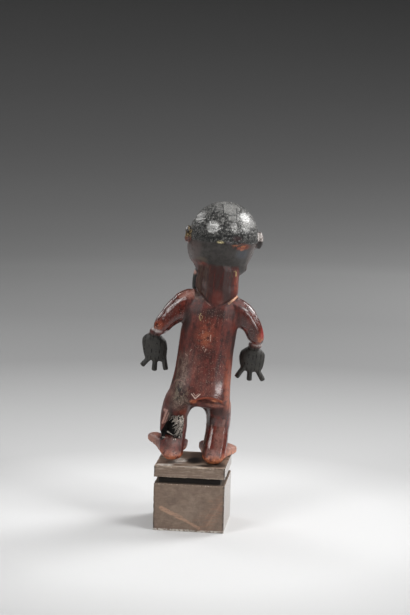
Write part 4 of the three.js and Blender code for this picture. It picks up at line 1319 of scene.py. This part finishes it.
def finish_figure():
    finish = OiledWood()
    finish.bare_wood()
    finish.rub_bright()
    finish.darken()
    finish.wear_and_highlight()
    finish.scratch()
    finish.stain_neck()
    finish.gild_ears()
    finish.blacken()
    finish.chip_rim()
    finish.tear_open()
    rough, gloss = finish.find_gloss()
    finish.feed(Base_Color=finish.colour, Roughness=rough, Coat_Weight=gloss)
    finish.bump(
        (finish.grain, 0.08), (finish.mottle, 0.17),
        (finish.crack * (finish.chipped + finish.polish * 0.35), -0.2), (finish.tilt * finish.chipped, 0.9),
        (finish.speck * (finish.tear + finish.polish * 0.3 + 0.25), 0.2),
    )
    return finish.material


figure.data.materials.append(finish_figure())
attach(figure, "root")
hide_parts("figure")


# A paper sweep stands round the object, painted palest under it as a pool of light. Its grey changes with
# the distance from the object, and painted shade grows dark high on the walls, as the photograph's
# background does.
SWEEP_RADIUS = 2.6
SWEEP_CORNER = 1.0
SWEEP_HEIGHT = 2.6
SWEEP_SIDES = 128
SWEEP_STEPS = 12
SWEEP_REACH = 3600
# The tones paint a pool of light under the object and shade high on the walls.
SWEEP_TONES = (
    (0.0, 0.62), (0.045, 0.58), (0.07, 0.45), (0.2, 0.26), (0.3, 0.27), (0.45, 0.36), (0.6, 0.18),
    (0.7, 0.085), (1.0, 0.06),
)


def make_sweep():
    radius = SWEEP_RADIUS - SWEEP_CORNER
    bpy.ops.object.select_all(action="DESELECT")
    bpy.ops.mesh.primitive_circle_add(vertices=SWEEP_SIDES, radius=radius, fill_type="NGON")
    sweep = bpy.context.object
    sweep.name = "sweep"
    bpy.ops.object.mode_set(mode="EDIT")
    bpy.ops.mesh.select_mode(type="EDGE")
    bpy.ops.mesh.select_all(action="SELECT")
    for index in range(1, SWEEP_STEPS + 1):
        angle = index / SWEEP_STEPS * pi / 2
        grown = SWEEP_RADIUS - SWEEP_CORNER + SWEEP_CORNER * sin(angle)
        rise = SWEEP_CORNER * (cos((index - 1) / SWEEP_STEPS * pi / 2) - cos(angle))
        bpy.ops.mesh.extrude_edges_move(TRANSFORM_OT_translate={"value": (0, 0, rise)})
        bpy.ops.transform.resize(value=(grown / radius, grown / radius, 1))
        radius = grown
    bpy.ops.mesh.extrude_edges_move(TRANSFORM_OT_translate={"value": (0, 0, SWEEP_HEIGHT)})
    bpy.ops.object.mode_set(mode="OBJECT")
    bpy.ops.object.shade_smooth()
    return sweep


def grey_ramp(place, stops):
    """Greys along a ramp from 0 to 1, from pairs of a place on it and a tone."""
    greys = place.finish.node("ShaderNodeValToRGB", {}, {"Fac": place}, "Color")
    elements = greys.socket.node.color_ramp.elements
    while len(elements) < len(stops):
        elements.new(0.5)
    for element, (position, tone) in zip(elements, stops):
        element.position = position
        element.color = (tone, tone, tone, 1)
    return greys


sweep = make_sweep()
paper = Finish("sweep_paper", Roughness=0.9, Specular_IOR_Level=0.1)
distance = paper.vectors("LENGTH", paper.place(), output="Value")
paper.feed(Base_Color=grey_ramp(distance / SWEEP_REACH, SWEEP_TONES))
sweep.data.materials.append(paper.material)


# Seven soft lights, named as the camera sees them. The strongest stands beyond the object on its
# right, four weaker ones stand round it at both sides, and two hang above it.
AIM = Vector((0, 0, 0.16))
AMBIENT = 0.24


def softbox(name, direction, distance, width, height, watts):
    light = bpy.data.lights.new(name, "AREA")
    light.shape = "RECTANGLE"
    light.size = width
    light.size_y = height
    light.energy = watts
    holder = bpy.data.objects.new(name, light)
    towards = Vector(direction).normalized()
    holder.location = AIM + towards * distance
    holder.rotation_euler = towards.to_track_quat("Z", "Y").to_euler()
    holder.visible_camera = False
    bpy.context.scene.collection.objects.link(holder)


softbox("key_right", (-0.66, -0.52, 0.54), 2.0, 0.9, 1.0, 36)
softbox("side_right", (-0.70, 0.26, 0.66), 1.2, 0.5, 0.4, 7)
softbox("back_left", (0.72, -0.55, 0.44), 1.2, 0.4, 0.5, 3.4)
softbox("front_left", (0.54, 0.68, 0.50), 1.2, 0.44, 0.62, 6.4)
softbox("front_right", (-0.78, 0.59, 0.20), 1.2, 0.16, 0.42, 4)
softbox("top_back", (0.1, -0.42, 0.90), 1.1, 0.6, 0.4, 1.7)
softbox("overhead", (-0.1, 0.1, 1.0), 1.2, 1.0, 1.0, 4)

world = bpy.data.worlds.new("studio")
world.use_nodes = True
background = world.node_tree.nodes["Background"]
background.inputs["Color"].default_value = (1, 1, 1, 1)
background.inputs["Strength"].default_value = AMBIENT
bpy.context.scene.world = world


# The camera stands behind the figure, higher than its head, and looks slightly down. Its place,
# turn and focal length were fitted to the photograph.
CAMERA_PLACE = Vector((-0.1377, 1.2344, 0.3491))
CAMERA_YAW = radians(6.09)
CAMERA_PITCH = radians(8.27)
CAMERA_ROLL = radians(1.41)
IMAGE_HEIGHT = 615
FOCAL_PIXELS = 1651
SENSOR = 36

forward = Vector((
    sin(CAMERA_YAW) * cos(CAMERA_PITCH),
    -cos(CAMERA_YAW) * cos(CAMERA_PITCH),
    -sin(CAMERA_PITCH),
))
level = forward.cross(Vector((0, 0, 1))).normalized()
upward = level.cross(forward)
side = level * cos(CAMERA_ROLL) + upward * sin(CAMERA_ROLL)
top = upward * cos(CAMERA_ROLL) - level * sin(CAMERA_ROLL)
lens = bpy.data.cameras.new("camera")
lens.sensor_fit = "VERTICAL"
lens.sensor_height = SENSOR
lens.lens = SENSOR * FOCAL_PIXELS / IMAGE_HEIGHT
lens.clip_start = 0.05
camera = bpy.data.objects.new("camera", lens)
camera.matrix_world = Matrix.Translation(CAMERA_PLACE) @ Matrix((side, top, -forward)).transposed().to_4x4()
bpy.context.scene.collection.objects.link(camera)
bpy.context.scene.camera = camera
bpy.context.scene.view_settings.view_transform = "Standard"
